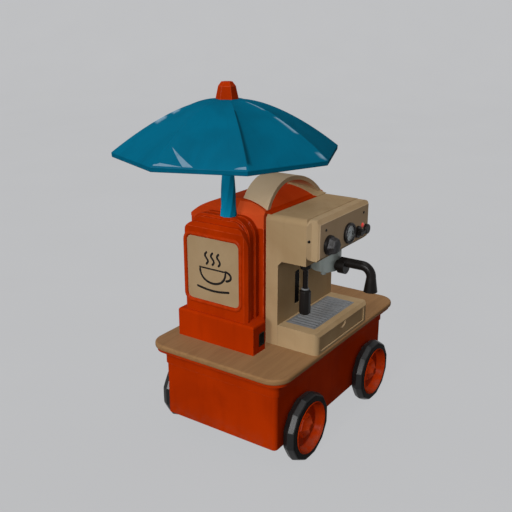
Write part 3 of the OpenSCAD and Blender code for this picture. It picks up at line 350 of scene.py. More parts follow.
def tyre_black():
    shade = Shade("Tyre rubber")
    dusty = shade.noise(30.0, 5.0).ramp(0.46, 0.74)
    tread = shade.named("edge")
    tone = shade.mix("rubber", "3A3531", dusty * 0.14)
    tone = shade.mix(tone, "black_worn", tread * 0.03)
    return shade.done(tone, 0.4 + dusty * 0.2, {"Specular IOR Level": 0.02, "Coat Roughness": 0.36},
                      Coat_Weight=tread * 0.9,
                      Normal=shade.bump(shade.noise(500.0, 3.0) + shade.spots(160.0) * 0.4, 0.16))


def dark_finish(name, rough, grain, metallic=0.0):
    """Black plastic or black enamel: greyer where hands have rubbed it."""
    shade = Shade(name)
    touch = shade.noise(38.0, 4.0).ramp(0.4, 0.75)
    worn = shade.named("edge") * shade.noise(110.0, 3.0).ramp(0.34, 0.62)
    tone = shade.mix("black", "1C1816", touch * 0.6)
    tone = shade.mix(tone, "black_worn", worn * 0.55)
    return shade.done(tone, rough + touch * 0.16, {"Metallic": metallic, "Specular IOR Level": 0.16},
                      Normal=shade.bump(shade.noise(700.0, 2.0) + shade.noise(90.0, 3.0) * 0.6, grain))


def metal(name, base, dark, rough, stretch=None, metallic=1.0):
    """Metal with fine brush marks, stains and rubbed edges."""
    shade = Shade(name)
    brush = shade.noise(1.0 if stretch else 260.0, 4.0, stretch)
    stain = shade.noise(24.0, 5.0).ramp(0.42, 0.75)
    tone = shade.mix(base, dark, stain * 0.45 + brush * 0.2)
    tone = shade.mix(tone, "D8DCE0", shade.named("edge") * 0.4)
    return shade.done(tone, rough + stain * 0.18 + (brush - 0.5) * 0.12, {"Metallic": metallic},
                      Normal=shade.bump(brush, 0.1))


def glass(name, base, rough, transmission, specular=0.5):
    """Glass or clear plastic with finger smears."""
    shade = Shade(name)
    smear = shade.noise(45.0, 4.0).ramp(0.45, 0.8)
    return shade.done(shade.mix(base, "D8D8D2", smear * 0.08), rough + smear * 0.12,
                      {"Transmission Weight": transmission, "IOR": 1.46, "Specular IOR Level": specular})


def dial_face():
    shade = Shade("Gauge dial")
    age = shade.noise(90.0, 4.0).ramp(0.4, 0.8)
    return shade.done(shade.mix("dial", "6E7470", age * 0.5), 0.45 + age * 0.15,
                      Normal=shade.bump(shade.noise(800.0), 0.05))


def lamp_red():
    shade = Shade("Lamp lens")
    depth = shade.noise(240.0, 2.0).ramp(0.35, 0.7)
    tone = shade.mix("lamp", "7A0E04", depth * 0.5)
    return shade.done(tone, 0.16 + depth * 0.1, {"Coat Weight": 0.8, "Emission Strength": 0.25},
                      Emission_Color=tone)


FINISHES = {
    "body_red": lambda: lacquer("Red lacquer", "red", "red_deep", "red_wear_and_highlight", coat=0.03, dust=True),
    "body_beige": lambda: lacquer("Beige casing", "beige", "beige_deep", "beige_wear_and_highlight", rough=0.5),
    "mast_teal": lambda: lacquer("Mast paint", "mast", "teal_deep", "teal_pale", rough=0.36),
    "pump_grey": lambda: lacquer("Pump casing", "6A6E70", "4A4E50", "8C9092", 0.5, 0.0),
    "sign_face": sign_face,
    "counter_wood": counter_wood,
    "canopy_teal": canopy_teal,
    "tyre_black": tyre_black,
    "black_plastic": lambda: dark_finish("Black plastic", 0.34, 0.14),
    "black_metal": lambda: dark_finish("Black enamel", 0.26, 0.06, 0.3),
    "bright_steel": lambda: metal("Bright steel", "bright", "59605E", 0.34, (30.0, 30.0, 900.0), 0.4),
    "plain_steel": lambda: metal("Plain steel", "steel", "5E656C", 0.48, (60.0, 700.0, 60.0), 0.4),
    "bush_brass": lambda: metal("Bush brass", "brass", "6A4A1C", 0.32),
    "boiler_metal": lambda: metal("Boiler metal", "A87850", "5E3C22", 0.34),
    "tank_plastic": lambda: glass("Tank plastic", "C8D2D6", 0.3, 0.4),
    "clear_glass": lambda: glass("Clear glass", "E8ECEC", 0.05, 1.0),
    "level_window": lambda: glass("Level window", "080605", 0.2, 0.0, 0.02),
    "dial_face": dial_face,
    "lamp_red": lamp_red,
}
_made = {}


def finish(slot):
    """The material of a slot, made once."""
    if slot not in _made:
        _made[slot] = FINISHES[slot]()
    return _made[slot]


# Pieces

def middle(node):
    low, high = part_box(node)
    return (low + high) / 2


def half_width(node):
    """Half of a node's extent along X."""
    low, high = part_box(node)
    return (high.x - low.x) / 2


def to_mesh(bm, name):
    bmesh.ops.recalc_face_normals(bm, faces=bm.faces)
    mesh = bpy.data.meshes.new(name)
    bm.to_mesh(mesh)
    bm.free()
    return mesh


def add_piece(name, shape, body, slot, stands_for=(), sharp=38.0):
    """Puts a mesh or a bmesh on a body, with its finish, in place of the nodes it stands for."""
    mesh = shape if isinstance(shape, bpy.types.Mesh) else to_mesh(shape, name)
    mesh.materials.clear()
    mesh.materials.append(finish(slot))
    mesh.shade_smooth()
    mesh.set_sharp_from_angle(angle=math.radians(sharp))
    piece = bpy.data.objects.new(name, mesh)
    bpy.context.scene.collection.objects.link(piece)
    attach(piece, body)
    if stands_for:
        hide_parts(*stands_for)
    return piece


def stand_in(name, shape, node, sharp=38.0):
    """A piece in place of a node, on its body and in its slot."""
    return add_piece(name, shape, NODE_BODY[node], NODE_SLOT[node], (node,), sharp)


def paint_nodes(*nodes):
    """Gives CAD nodes that stay as they are the finish of their slots."""
    for node in nodes:
        mesh = frame["nodes"][node].data
        mesh.materials.clear()
        mesh.materials.append(finish(NODE_SLOT[node]))


def soften(node, width, segments=3, angle=32.0, rub=0.0, draw=None, end=None, painted_light_elsewhere=0.0):
    """A copy of a node with rounded edges; the rounded strips carry the edge attribute.

    The first painted-light share makes the whole piece paler, as painted highlight and as painted light on faces
    in shade; with end, only its corner below that x and y takes the first share, and all else the second.
    Draw gives a height and a rise: what is above the height is drawn out upwards, its top by the rise.
    """
    same_point, same_plane, fade = 2e-6, math.radians(0.6), 0.5 * MM
    bm = bmesh.new()
    bm.from_mesh(frame["nodes"][node].data)
    edge = bm.verts.layers.float.new("edge")
    painted_light_mask = bm.verts.layers.float.new("rub")
    bmesh.ops.remove_doubles(bm, verts=bm.verts, dist=same_point)
    bmesh.ops.dissolve_limit(bm, angle_limit=same_plane, verts=bm.verts, edges=bm.edges)
    sharp = [e for e in bm.edges if len(e.link_faces) == 2 and e.calc_face_angle(0) > math.radians(angle)]
    worn = set()
    if sharp:
        made = bmesh.ops.bevel(bm, geom=sharp, offset=width, offset_type="OFFSET", segments=segments,
                               profile=0.5, affect="EDGES", clamp_overlap=True)
        strip = set(made["faces"])
        worn = {v for v in made["verts"] if v.is_valid and all(f in strip for f in v.link_faces)}
    x, y = end or (math.inf, math.inf)
    for way in ((1, 0, 0), (0, 1, 0)) if end else ():
        for gap in (0, fade):
            bmesh.ops.bisect_plane(bm, geom=bm.verts[:] + bm.edges[:] + bm.faces[:],
                                   plane_co=(x - gap, y - gap, 0), plane_no=way)
    for vert in bm.verts:
        vert[edge] = 1.0 if vert in worn else 0.0
        # how much paler each point is painted: painted highlight and painted light
        vert[painted_light_mask] = rub if vert.co.x < x - fade / 5 and vert.co.y < y - fade / 5 else painted_light_elsewhere
    if draw:
        foot, rise = draw
        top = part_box(node)[1].z
        for vert in bm.verts:
            vert.co.z += rise * max(0.0, vert.co.z - foot) / (top - foot)
    if end:
        bm.verts.sort(key=lambda v: v.co.dot(ORDER))
        bm.faces.sort(key=lambda f: f.calc_center_median().dot(ORDER))
    piece = stand_in(node + "_finish", bm, node)
    piece.modifiers.new("Weighted normals", "WEIGHTED_NORMAL").keep_sharp = True


def round_edges(piece, width, angle):
    """A narrow bevel on a piece's arrises."""
    bevel = piece.modifiers.new("Rounded arrises", "BEVEL")
    bevel.width = width
    bevel.segments = 2
    bevel.angle_limit = math.radians(angle)


def ring(place, radius, sides, turn=0.0):
    """A level polygon of points round a place."""
    angles = [turn + i * math.tau / sides for i in range(sides)]
    return [Vector(place) + Vector((radius * math.cos(a), radius * math.sin(a), 0)) for a in angles]


def flat_sided(angle, sides):
    """Radius of a regular outline at an angle, with 1 at its corners."""
    half = math.pi / sides
    return math.cos(half) / math.cos(angle % (2 * half) - half)


def turned(profile, centre, way, turn=0.0, sides=6):
    """Turns a profile in millimetres about an axis along Y.

    A step of the profile is a radius, a distance along the way, and a share of flat sides.
    """
    around = 10 * sides
    rings = []
    for radius, along, share in profile:
        points = []
        for i in range(around):
            angle = i * math.tau / around
            reach = radius * MM * (1 - share + share * flat_sided(angle, sides))
            points.append(Vector((centre.x + reach * math.cos(angle + turn), centre.y + way * along * MM,
                                  centre.z + reach * math.sin(angle + turn))))
        rings.append(points)
    return rings


def loft(bm, rings, closed=False):
    """Skins a run of rings; open runs get end caps."""
    rows = [[bm.verts.new(point) for point in points] for points in rings]
    sides = len(rows[0])
    pairs = list(zip(rows, rows[1:])) + ([(rows[-1], rows[0])] if closed else [])
    for low, high in pairs:
        for i in range(sides):
            bm.faces.new((low[i], low[(i + 1) % sides], high[(i + 1) % sides], high[i]))
    if not closed:
        bm.faces.new(list(reversed(rows[0])))
        bm.faces.new(rows[-1])
    return rows


def skin(rings, closed=False, worn=(), wear=0.7):
    """A lofted bmesh; its rings with the worn numbers carry the edge attribute."""
    bm = bmesh.new()
    edge = bm.verts.layers.float.new("edge")
    rows = loft(bm, rings, closed)
    for index in worn:
        for vert in rows[index]:
            vert[edge] = wear
    return bm


# Repeats with Geometry Nodes

class Nodes(Tree):
    """A geometry node tree with named inputs."""

    def __init__(self, name, inputs):
        super().__init__(bpy.data.node_groups.new(name, "GeometryNodeTree"))
        for key, kind in {"Geometry": "NodeSocketGeometry", **inputs, "Finish": "NodeSocketMaterial"}.items():
            self.tree.interface.new_socket(key, in_out="INPUT", socket_type=kind)
        self.tree.interface.new_socket("Geometry", in_out="OUTPUT", socket_type="NodeSocketGeometry")
        self.given = self.tree.nodes.new("NodeGroupInput").outputs

    def join(self, *parts):
        made = self.tree.nodes.new("GeometryNodeJoinGeometry")
        for part in parts:
            self.tree.links.new(part, made.inputs[0])
        return self.node("GeometryNodeRealizeInstances", None, {"Geometry": made.outputs[0]})

    def run(self, geometry, name, mesh, settings, body, slot, stands_for=(), sharp=38.0):
        """Evaluates the tree on a mesh and keeps the result as a plain piece."""
        real = self.node("GeometryNodeRealizeInstances", None, {"Geometry": geometry})
        shown = self.node("GeometryNodeSetMaterial", None, {"Geometry": real, "Material": self.given["Finish"]})
        self.node("NodeGroupOutput", None, {0: shown})
        settings["Finish"] = finish(slot)
        source = bpy.data.objects.new(name + "_points", mesh)
        bpy.context.scene.collection.objects.link(source)
        modifier = source.modifiers.new("Repeat", "NODES")
        modifier.node_group = self.tree
        for item in self.tree.interface.items_tree:
            if item.in_out == "INPUT" and item.name in settings:
                modifier[item.identifier] = settings[item.name]
        source.update_tag()
        depsgraph = bpy.context.evaluated_depsgraph_get()
        made = bpy.data.meshes.new_from_object(source.evaluated_get(depsgraph))
        bpy.data.objects.remove(source)
        if not made.polygons:
            raise RuntimeError(name + ": the repeat came out empty")
        made.name = name
        return add_piece(name, made, body, slot, stands_for, sharp)


def repeat(name, pattern, spots, body, slot, stands_for=(), sharp=38.0):
    """Copies a pattern mesh to spots, each a place and a direction or a turn for the pattern's Z axis."""
    nodes = Nodes("Repeat on points", {"Pattern": "NodeSocketObject"})
    turn = nodes.node("GeometryNodeInputNamedAttribute", {"data_type": "FLOAT_VECTOR"}, {"Name": "turn"})
    copies = nodes.node("GeometryNodeInstanceOnPoints", None, {
        "Points": nodes.given["Geometry"],
        "Instance": nodes.node("GeometryNodeObjectInfo", None, {"Object": nodes.given["Pattern"]}, "Geometry"),
        "Rotation": nodes.node("FunctionNodeEulerToRotation", None, {0: turn})})
    source = bpy.data.objects.new(name + "_pattern", pattern)
    bpy.context.scene.collection.objects.link(source)
    points = bpy.data.meshes.new(name)
    points.from_pydata([place for place, _ in spots], [], [])
    turns = points.attributes.new("turn", "FLOAT_VECTOR", "POINT")
    for i, (_, way) in enumerate(spots):
        turns.data[i].vector = way if hasattr(way, "order") else Vector(way).to_track_quat("Z", "Y").to_euler()
    nodes.run(copies, name, points, {"Pattern": source}, body, slot, stands_for, sharp)
    bpy.data.objects.remove(source)


def block(bm, low, high):
    """Adds a box between two corners."""
    for vert in bmesh.ops.create_cube(bm, size=1.0)["verts"]:
        vert.co = Vector((low[i] + (vert.co[i] + 0.5) * (high[i] - low[i]) for i in range(3)))


def screw_pattern(radius):
    """A low round head with a slot between two ridges, seat at the origin, facing +Z."""
    heights = ((1.0, 0.0), (1.0, 0.2), (0.86, 0.42), (0.5, 0.56))
    bm = skin([ring((0, 0, radius * h), radius * r, 20) for r, h in heights])
    for near in (-0.24, 0.12):
        block(bm, Vector((-0.62, near, 0.5)) * radius, Vector((0.62, near + 0.12, 0.68)) * radius)
    return to_mesh(bm, "screw")


def stroke_lines(name, lines, to_world, width, flat, body, slot):
    """Drawn lines as flat rounded strips; a line is (points, closed) in the picture's plane."""
    nodes = Nodes("Drawn strokes", {"Width": "NodeSocketFloat", "Flat": "NodeSocketFloat"})
    half = nodes.node("ShaderNodeMath", {"operation": "MULTIPLY"}, {0: nodes.given["Width"], 1: 0.5})
    path = nodes.node("GeometryNodeMeshToCurve", None, {"Mesh": nodes.given["Geometry"]})
    round_line = nodes.node("GeometryNodeCurvePrimitiveCircle", None, {"Resolution": 14, "Radius": half})
    strip = nodes.node("GeometryNodeCurveToMesh", None, {"Curve": path, "Profile Curve": round_line})
    ball = nodes.node("GeometryNodeMeshUVSphere", None, {"Segments": 14, "Rings": 8, "Radius": half})
    ends = nodes.node("GeometryNodeInstanceOnPoints", None, {
        "Points": path, "Instance": ball,
        "Selection": nodes.node("GeometryNodeCurveEndpointSelection")})
    scale = nodes.node("ShaderNodeCombineXYZ", None, {"X": nodes.given["Flat"], "Y": 1.0, "Z": 1.0})
    drawn = nodes.node("GeometryNodeTransform", None, {"Geometry": nodes.join(strip, ends), "Scale": scale})
    points, edges = [], []
    for line, closed in lines:
        first = len(points)
        points += [(0.0, -u * MM, v * MM) for u, v in line]
        edges += [(first + i, first + i + 1) for i in range(len(line) - 1)]
        if closed:
            edges.append((len(points) - 1, first))
    mesh = bpy.data.meshes.new(name)
    mesh.from_pydata(points, edges, [])
    piece = nodes.run(drawn, name, mesh, {"Width": width, "Flat": flat}, body, slot)
    piece.data.transform(to_world)


class CartOperator:
    """Shared by the cart's operators."""

    bl_options = {"REGISTER", "UNDO"}

    @property
    def shape(self):
        return bpy.context.scene.cart_shape


class CART_OT_base(CartOperator, Operator):
    """Base box, moulding, counter and its bolts"""

    bl_idname = "cart.base"
    bl_label = "Base and counter"

    def execute(self, context):
        soften("base_tub", 4 * MM)
        soften("cornice", 1.4 * MM)
        soften("counter_slab", 2.5 * MM)
        paint_nodes("deck_bolts")
        return {"FINISHED"}


class CART_OT_wheels(CartOperator, Operator):
    """Dished wheels with six-sided bosses, tyres, axles and hub caps"""

    bl_idname = "cart.wheels"
    bl_label = "Wheels"
    PLACES = ("front_left", "front_right", "rear_left", "rear_right")

    def execute(self, context):
        for place in self.PLACES:
            self.wheel("wheel_" + place)
            self.tyre("tyre_" + place, "wheel_" + place)
        self.caps()
        paint_nodes("axle_front", "axle_rear", "axle_bushes")
        return {"FINISHED"}

    def wheel(self, node):
        """One closed ring about the axle: hub, web, rim, then the dish and its boss."""
        low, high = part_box(node)
        way = 1.0 if low.y > 0 else -1.0
        rim, wide, boss = half_width(node) / MM, (high.y - low.y) / MM, self.shape.boss / MM
        bore, hub, lip, face = 6.3, 14, rim + self.shape.flange / MM, wide + 2.1
        profile = ((bore, 0, 0), (hub, 0, 0), (hub, 6, 0), (rim - 8, 6, 0), (rim - 7, 4, 0), (rim - 1, 4, 0),
                   (rim, 5, 0), (rim, face, 0), (lip, face, 0), (lip, face + 1, 0), (lip - 1, face + 1.6, 0),
                   (rim + 2, face + 1.6, 0), (rim - 1.5, wide - 1, 0), (rim - 5, 14, 0), (rim - 7, 12.6, 0),
                   (boss + 1, 13, 1), (boss, 14, 1), (boss - 2, 20, 1), (boss - 3, 20.6, 1), (bore, 20.6, 0))
        boss_edge = 18
        centre = middle(node)
        centre.y = low.y if way > 0 else high.y
        stand_in(node + "_dish", skin(turned(profile, centre, way), True, (boss_edge,)), node, 20.0)

    def tyre(self, node, wheel):
        """A tyre with twelve flats round its tread."""
        low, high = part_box(node)
        sides, flat = 12, 0.8
        wide, seat = (high.y - low.y) / MM, half_width(wheel) / MM + 0.3
        outer = half_width(node) / MM / (1 - flat * (1 - flat_sided(math.pi / sides, sides)))
        crown, shoulder = 0.3 * wide / 2, 3
        tread = outer - crown
        profile = ((seat, 0, 0), (tread - shoulder, 0, flat), (tread, shoulder, flat), (outer, wide / 2, flat),
                   (tread, wide - shoulder, flat), (tread - shoulder, wide, flat), (seat, wide, 0))
        centre = middle(node)
        centre.y = low.y
        bm = skin(turned(profile, centre, 1.0, math.radians(15), sides), True, (2, 3, 4))
        round_edges(stand_in(node + "_flats", bm, node, 12.0), 0.8 * MM, 12)

    def caps(self):
        """Six-sided tapered caps, one on each axle end."""
        low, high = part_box("axle_caps")
        boss, seat = self.shape.boss / MM - 3.5, -10.7
        profile = ((boss - 1, seat, 1), (boss, seat + 1, 1), (boss - 14, -1.2, 1), (boss - 16, -0.2, 1),
                   (boss - 19, 0, 1))
        bm = skin(turned(profile, Vector((0, 0, 0)), -1.0), worn=(2,))
        bmesh.ops.rotate(bm, cent=(0, 0, 0), matrix=Matrix.Rotation(math.radians(-90), 3, "X"), verts=bm.verts)
        spots = []
        for place in self.PLACES:
            hub = middle("wheel_" + place)
            spots.append((Vector((hub.x, low.y if hub.y < 0 else high.y, hub.z)), (0, -1 if hub.y < 0 else 1, 0)))
        repeat("axle_cap_bosses", to_mesh(bm, "cap"), spots, "cart", "body_red", ("axle_caps",), 20.0)


class CART_OT_sign(CartOperator, Operator):
    """Sign case with its board and a drawn cup"""

    bl_idname = "cart.sign"
    bl_label = "Sign"

    def execute(self, context):
        soften("sign_plinth", self.shape.case_edge)
        head = (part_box("sign_panel")[1].z + MM, self.shape.head)
        soften("sign_case", 1.5 * MM, draw=head)
        soften("sign_bezel", 4.5 * MM, 2, draw=head)
        soften("sign_panel", 0.8 * MM)
        paint_nodes("mast_socket")
        self.bead()
        self.collar()
        self.slot()
        self.picture()
        return {"FINISHED"}

    def bead(self):
        """Rounded bead on the bezel, round the board."""
        low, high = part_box("sign_panel")
        face, round_by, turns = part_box("sign_bezel")[0].x, 12 * MM, 6
        rings = []
        for out, rise in ((0.4, -1.0), (0.8, 1.2), (2.6, 2.8), (5.2, 3.2), (8.0, 2.2), (9.4, 0.4), (9.6, -1.0)):
            reach = round_by + out * MM
            points = []
            for i, (y, z) in enumerate(((high.y, high.z), (low.y, high.z), (low.y, low.z), (high.y, low.z))):
                side, up = (1 if y == high.y else -1), (1 if z == high.z else -1)
                for k in range(turns + 1):
                    angle = math.radians(90 * i + 90 * k / turns)
                    points.append(Vector((face - rise * MM, y - side * round_by + reach * math.cos(angle),
                                          z - up * round_by + reach * math.sin(angle))))
            rings.append(points)
        add_piece("sign_bead", skin(rings, True, (1, 2, 3, 4, 5), 0.2), "cart", "body_red", (), 60.0)

    def collar(self):
        """Ring on the sign case that fills the gap under the mast's foot."""
        axis = middle("mast")
        floor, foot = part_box("socket_bush")[1].z + 0.3 * MM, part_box("sign_case")[1].z + self.shape.head
        top = foot - 0.1 * MM
        profile = ((11.4, floor), (17.4, floor), (17.4, foot - MM), (16.6, top), (11.4, top))
        rings = [ring((axis.x, axis.y, z), radius * MM, 48) for radius, z in profile]
        add_piece("mast_collar", skin(rings, True), "cart", "body_red")

    def slot(self):
        """Black liner in the slot at the end of the plinth, with a flange round its mouth; its black is painted
        shade, darkening the slot and its rim.
        """
        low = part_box("sign_plinth")[0]
        centre, half, wall = middle("sign_plinth").x, 8.9 * MM, 0.5 * MM
        bottom, top, deep = low.z + 16.1 * MM, low.z + 43.9 * MM, 25.8 * MM
        flange, back, proud = -2.2 * MM, -0.05 * MM, -0.5 * MM
        rings = []
        for inset, along in ((0, deep), (0, back), (flange, back), (flange, proud), (wall, proud),
                             (wall, deep - wall)):
            corners = ((-1, bottom + inset), (1, bottom + inset), (1, top - inset), (-1, top - inset))
            rings.append([Vector((centre + side * (half - inset), low.y + along, z)) for side, z in corners])
        add_piece("slot_liner", skin(rings), "cart", "black_plastic")

    def picture(self):
        """A cup on a saucer with three wisps of steam, in millimetres from the board's middle."""
        centre = middle("sign_panel")
        centre.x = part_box("sign_panel")[0].x
        bowl = [(36 * math.cos(a), 4 - 34 * math.sin(a) ** 0.8) for a in
                (math.pi * i / 28 for i in range(29)) if math.sin(a) >= 0]
        handle = [(34 + 17 * math.sin(a), -6 + 11 * math.cos(a)) for a in
                  (math.pi * (0.06 + 0.86 * i / 16) for i in range(17))]
        saucer = [(-44 + 88 * i / 20, -43 - 5 * math.sin(math.pi * i / 20)) for i in range(21)]
        steam = [[(x + 4 * math.sin(math.tau * i / 18), 15 + 27 * i / 18) for i in range(19)]
                 for x in (-17, 0, 17)]
        lines = [(bowl, True), (handle, False), (saucer, False)] + [(line, False) for line in steam]
        stroke_lines("sign_picture", lines, Matrix.Translation(centre), self.shape.stroke, 0.16, "cart",
                     "black_plastic")


class CART_OT_parasol(CartOperator, Operator):
    """Parasol: one curved sheet with a hem, its mast, hub and finial"""

    bl_idname = "cart.parasol"
    bl_label = "Parasol"
    GORES = 8
    STEPS = 30
    ACROSS = (0.0, 0.012, 0.03, 0.07, 0.16, 0.3, 0.5, 0.7, 0.84, 0.93, 0.97, 0.988)
    # corners of the pale patches of painted highlight near the hem
    PATCHES = (((184, 0.80), (194.7, 0.99), (199.7, 0.99)), ((180.6, 0.955), (180.8, 0.99), (194, 0.99)),
               ((219.5, 0.99), (221.5, 0.975), (224.6, 0.965), (224.6, 0.99)))
    # the gore with painted shade along its fold, and per gore the stretches of t with a painted highlight along a
    # rib
    CREASE, SHINE = 5, {3: ((0.34, 0.43), (0.49, 0.59)), 5: ((0.1, 0.32), (0.45, 0.67), (0.9, 0.99))}

    def execute(self, context):
        self.sheet()
        self.patches()
        self.mast()
        soften("finial", 1.6 * MM, 2, 20.0)
        paint_nodes("canopy_hub", "canopy_ribs", "socket_bush")
        return {"FINISHED"}

    def curve(self, low, high, t):
        """Radius and height of a sheet in this box at t, which runs from its crown (0) to its rim (1)."""
        crown, drop = self.shape.crown_flat, high.z - low.z - self.shape.hem
        return crown + ((high.x - low.x) / 2 - crown) * t, high.z - drop * t ** 1.6

    def point(self, axis, angle, across, radius, height, t):
        """A point of a gore, which is flat from rib to rib and sags between them."""
        half = math.pi / self.GORES
        flat = radius * math.cos(half) / math.cos((2 * across - 1) * half)
        belly = math.sin(math.pi * t) * (1 - (2 * across - 1) ** 2)
        return Vector((axis.x + flat * math.cos(angle), axis.y + flat * math.sin(angle),
                       height - self.shape.sag * belly))

    def lap(self, across, t):
        """Rise of the sheet where a gore lies over the next one along a rib."""
        wide = 0.16
        return self.shape.lap * (1 - across / wide) * min(1.0, 4 * t) if 0 < across < wide and t < 1 else 0.0

    def seam(self, gore, across, t):
        """Tone of the sheet along its ribs: below 0 the painted shade of a fold, above 0 a painted highlight."""
        if gore == self.CREASE and 0 < across < 0.05:
            return -1.0 if 0.28 < t < 0.96 else 0.0
        if gore in self.SHINE and (across > 0.95 if gore == self.CREASE else 0 < across < 0.1):
            return 1.0 if any(start < t < end for start, end in self.SHINE[gore]) else 0.0
        return 0.0

    def sheet(self):
        low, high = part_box("canopy_shell")
        shape, axis, step, inner = self.shape, (low + high) / 2, math.tau / self.GORES, 7 * MM
        profile = [(inner, high.z, 0.0)]
        profile += [(*self.curve(low, high, i / self.STEPS), i / self.STEPS) for i in range(self.STEPS + 1)]
        reach, rim, _ = profile[-1]
        outer = profile + [(reach + 0.6 * MM, rim - 1.4 * MM, 1.0), (reach + 0.2 * MM, rim - 3.6 * MM, 1.0),
                           (reach, rim - shape.hem + 1.5 * MM, 1.0), (reach - 0.8 * MM, rim - shape.hem, 1.0)]
        under = [(reach - shape.sheet, rim - shape.hem, 1.0), (reach - shape.sheet, rim - shape.sheet, 1.0)]
        under += [(r, z - shape.sheet, t) for r, z, t in reversed(profile[:-1])]
        columns = [(gore, across) for gore in range(self.GORES) for across in self.ACROSS]
        rings = [[self.point(axis, (gore + across) * step, across, r, z + self.lap(across, t), t)
                  for gore, across in columns] for r, z, t in outer + under]
        bm = bmesh.new()
        edge = bm.verts.layers.float.new("edge")
        uv = bm.loops.layers.uv.new("sheet")
        place = {}
        for index, row in enumerate(loft(bm, rings, closed=True)):
            for vert, (gore, across) in zip(row, columns):
                vert[edge] = self.seam(gore, across, outer[index][2]) if index < len(outer) else 0.0
                place[vert] = ((gore + across) / self.GORES, index / len(outer))
        for face in bm.faces:
            wraps = max(place[v][0] for v in face.verts) - min(place[v][0] for v in face.verts) > 0.5
            for loop in face.loops:
                u, v = place[loop.vert]
                loop[uv].uv = (u + 1 if wraps and u < 0.5 else u, v)
        stand_in("canopy_sheet", bm, "canopy_shell", 24.0)

    def patches(self):
        """Thin patches on the sheet near the hem, coloured pale as painted highlight; a corner is an angle in
        degrees and a t.
        """
        low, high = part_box("canopy_shell")
        axis, step, cuts = (low + high) / 2, math.tau / self.GORES, 10
        bm = bmesh.new()
        faded = bm.verts.layers.float.new("faded")
        for corners in self.PATCHES:
            line = []
            for (a, s), (b, e) in zip(corners, corners[1:] + corners[:1]):
                line += [(math.radians(a + (b - a) * i / cuts), s + (e - s) * i / cuts) for i in range(cuts)]
            rings = []
            for rise in (-0.8 * MM, 0.6 * MM):
                points = []
                for angle, t in line:
                    radius, height = self.curve(low, high, t)
                    points.append(self.point(axis, angle, angle / step % 1, radius, height + rise, t))
                rings.append(points)
            for row in loft(bm, rings):
                for vert in row:
                    vert[faded] = 1.0
        add_piece("canopy_patches", bm, "parasol", "canopy_teal")

    def mast(self):
        """An eight-sided mast on a round spigot, twisted and wider towards its foot."""
        low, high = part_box("mast")
        axis, steps, twist = middle("mast"), 12, math.radians(150)
        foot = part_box("sign_case")[1].z + self.shape.head + 0.2 * MM
        slim, wide, spigot, taper = 14 * MM, half_width("mast"), 11 * MM, 105 * MM
        rings = []
        for i in range(steps + 1):
            z = foot + (high.z - foot) * i / steps
            radius = max(slim, wide + (slim - wide) * (z - foot) / taper)
            rings.append(ring((axis.x, axis.y, z), radius, 8, twist * i / steps))
        bm = skin(rings)
        loft(bm, [ring((axis.x, axis.y, z), spigot, 32) for z in (low.z, foot + MM)])
        round_edges(stand_in("mast_twist", bm, "mast", 18.0), 0.9 * MM, 30)


class CART_OT_casing(CartOperator, Operator):
    """Machine casing, tank lid, strap handle and fascia with its screws"""

    bl_idname = "cart.casing"
    bl_label = "Machine casing"

    def execute(self, context):
        soften("front_shell", self.shape.shell_edge)
        low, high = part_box("fascia")
        # the fascia's front, which faces away from the key lamp, is painted paler as painted light on a face in
        # shade; the rest of the fascia a little
        soften("fascia", 2.0 * MM, rub=1.1, end=(high.x + MM, low.y + MM), painted_light_elsewhere=0.25)
        soften("rear_housing", 4.0 * MM)
        # the lid's left front corner is painted pale as a painted highlight, and the rest of the lid, shaded by
        # the strap, a little paler as painted light
        corner = (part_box("lid_handle")[0].x + 2 * MM, middle("mast").y)
        soften("tank_lid", 2.5 * MM, rub=1.0, end=corner, painted_light_elsewhere=0.3)
        # the strap is painted paler as a painted sheen
        soften("lid_handle", 3.0 * MM, rub=1.1)
        soften("level_glass", 0.6 * MM)
        self.lid_trim()
        self.screws()
        return {"FINISHED"}

    def lid_trim(self):
        """A lip on the lid's front edge, and the strap's foot beside it; both follow the lid's crown."""
        low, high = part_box("tank_lid")
        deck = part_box("front_shell")[1].z + 0.3 * MM
        crown, crown_y, front, thick = 190 * MM, 35 * MM, low.y - 14 * MM, 3 * MM
        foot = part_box("lid_handle")[1].x - 54 * MM
        for name, slot, start, end, back, rise in (
                ("lid_lip", "body_red", low.x + 9 * MM, foot, low.y + 3 * MM, 0.4 * MM),
                ("strap_foot", "body_beige", foot, high.x - 7 * MM, 26 * MM, 1.4 * MM)):
            steps = [front + (back - front) * i / 16 for i in range(17)]
            top = [(y, max(deck + 1.2 * MM + (y - front) * 0.12,
                           high.z - crown + math.sqrt(crown ** 2 - (y - crown_y) ** 2) + rise)) for y in steps]
            under = [(y, max(deck, z - thick)) for y, z in reversed(top)]
            bm = skin([[Vector((x, y, z)) for y, z in top + under] for x in (start, end)])
            round_edges(add_piece(name, bm, "lid", slot, (), 30.0), 0.5 * MM, 40)

    def screws(self):
        """One on each slanted end of the fascia and two on its front."""
        low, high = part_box("fascia")
        height, strip, inset, below = (low.z + high.z) / 2, 4 * MM, 37 * MM, 25 * MM
        spots = [(Vector((low.x + strip, high.y - strip, height)), (-1, -1, 0)),
                 (Vector((high.x - strip, high.y - strip, height)), (1, -1, 0)),
                 (Vector((low.x + inset, low.y, high.z - below)), (0, -1, 0)),
                 (Vector((high.x - inset, low.y, high.z - below)), (0, -1, 0))]
        repeat("fascia_screws", screw_pattern(self.shape.screw), spots, "cart", "black_metal")


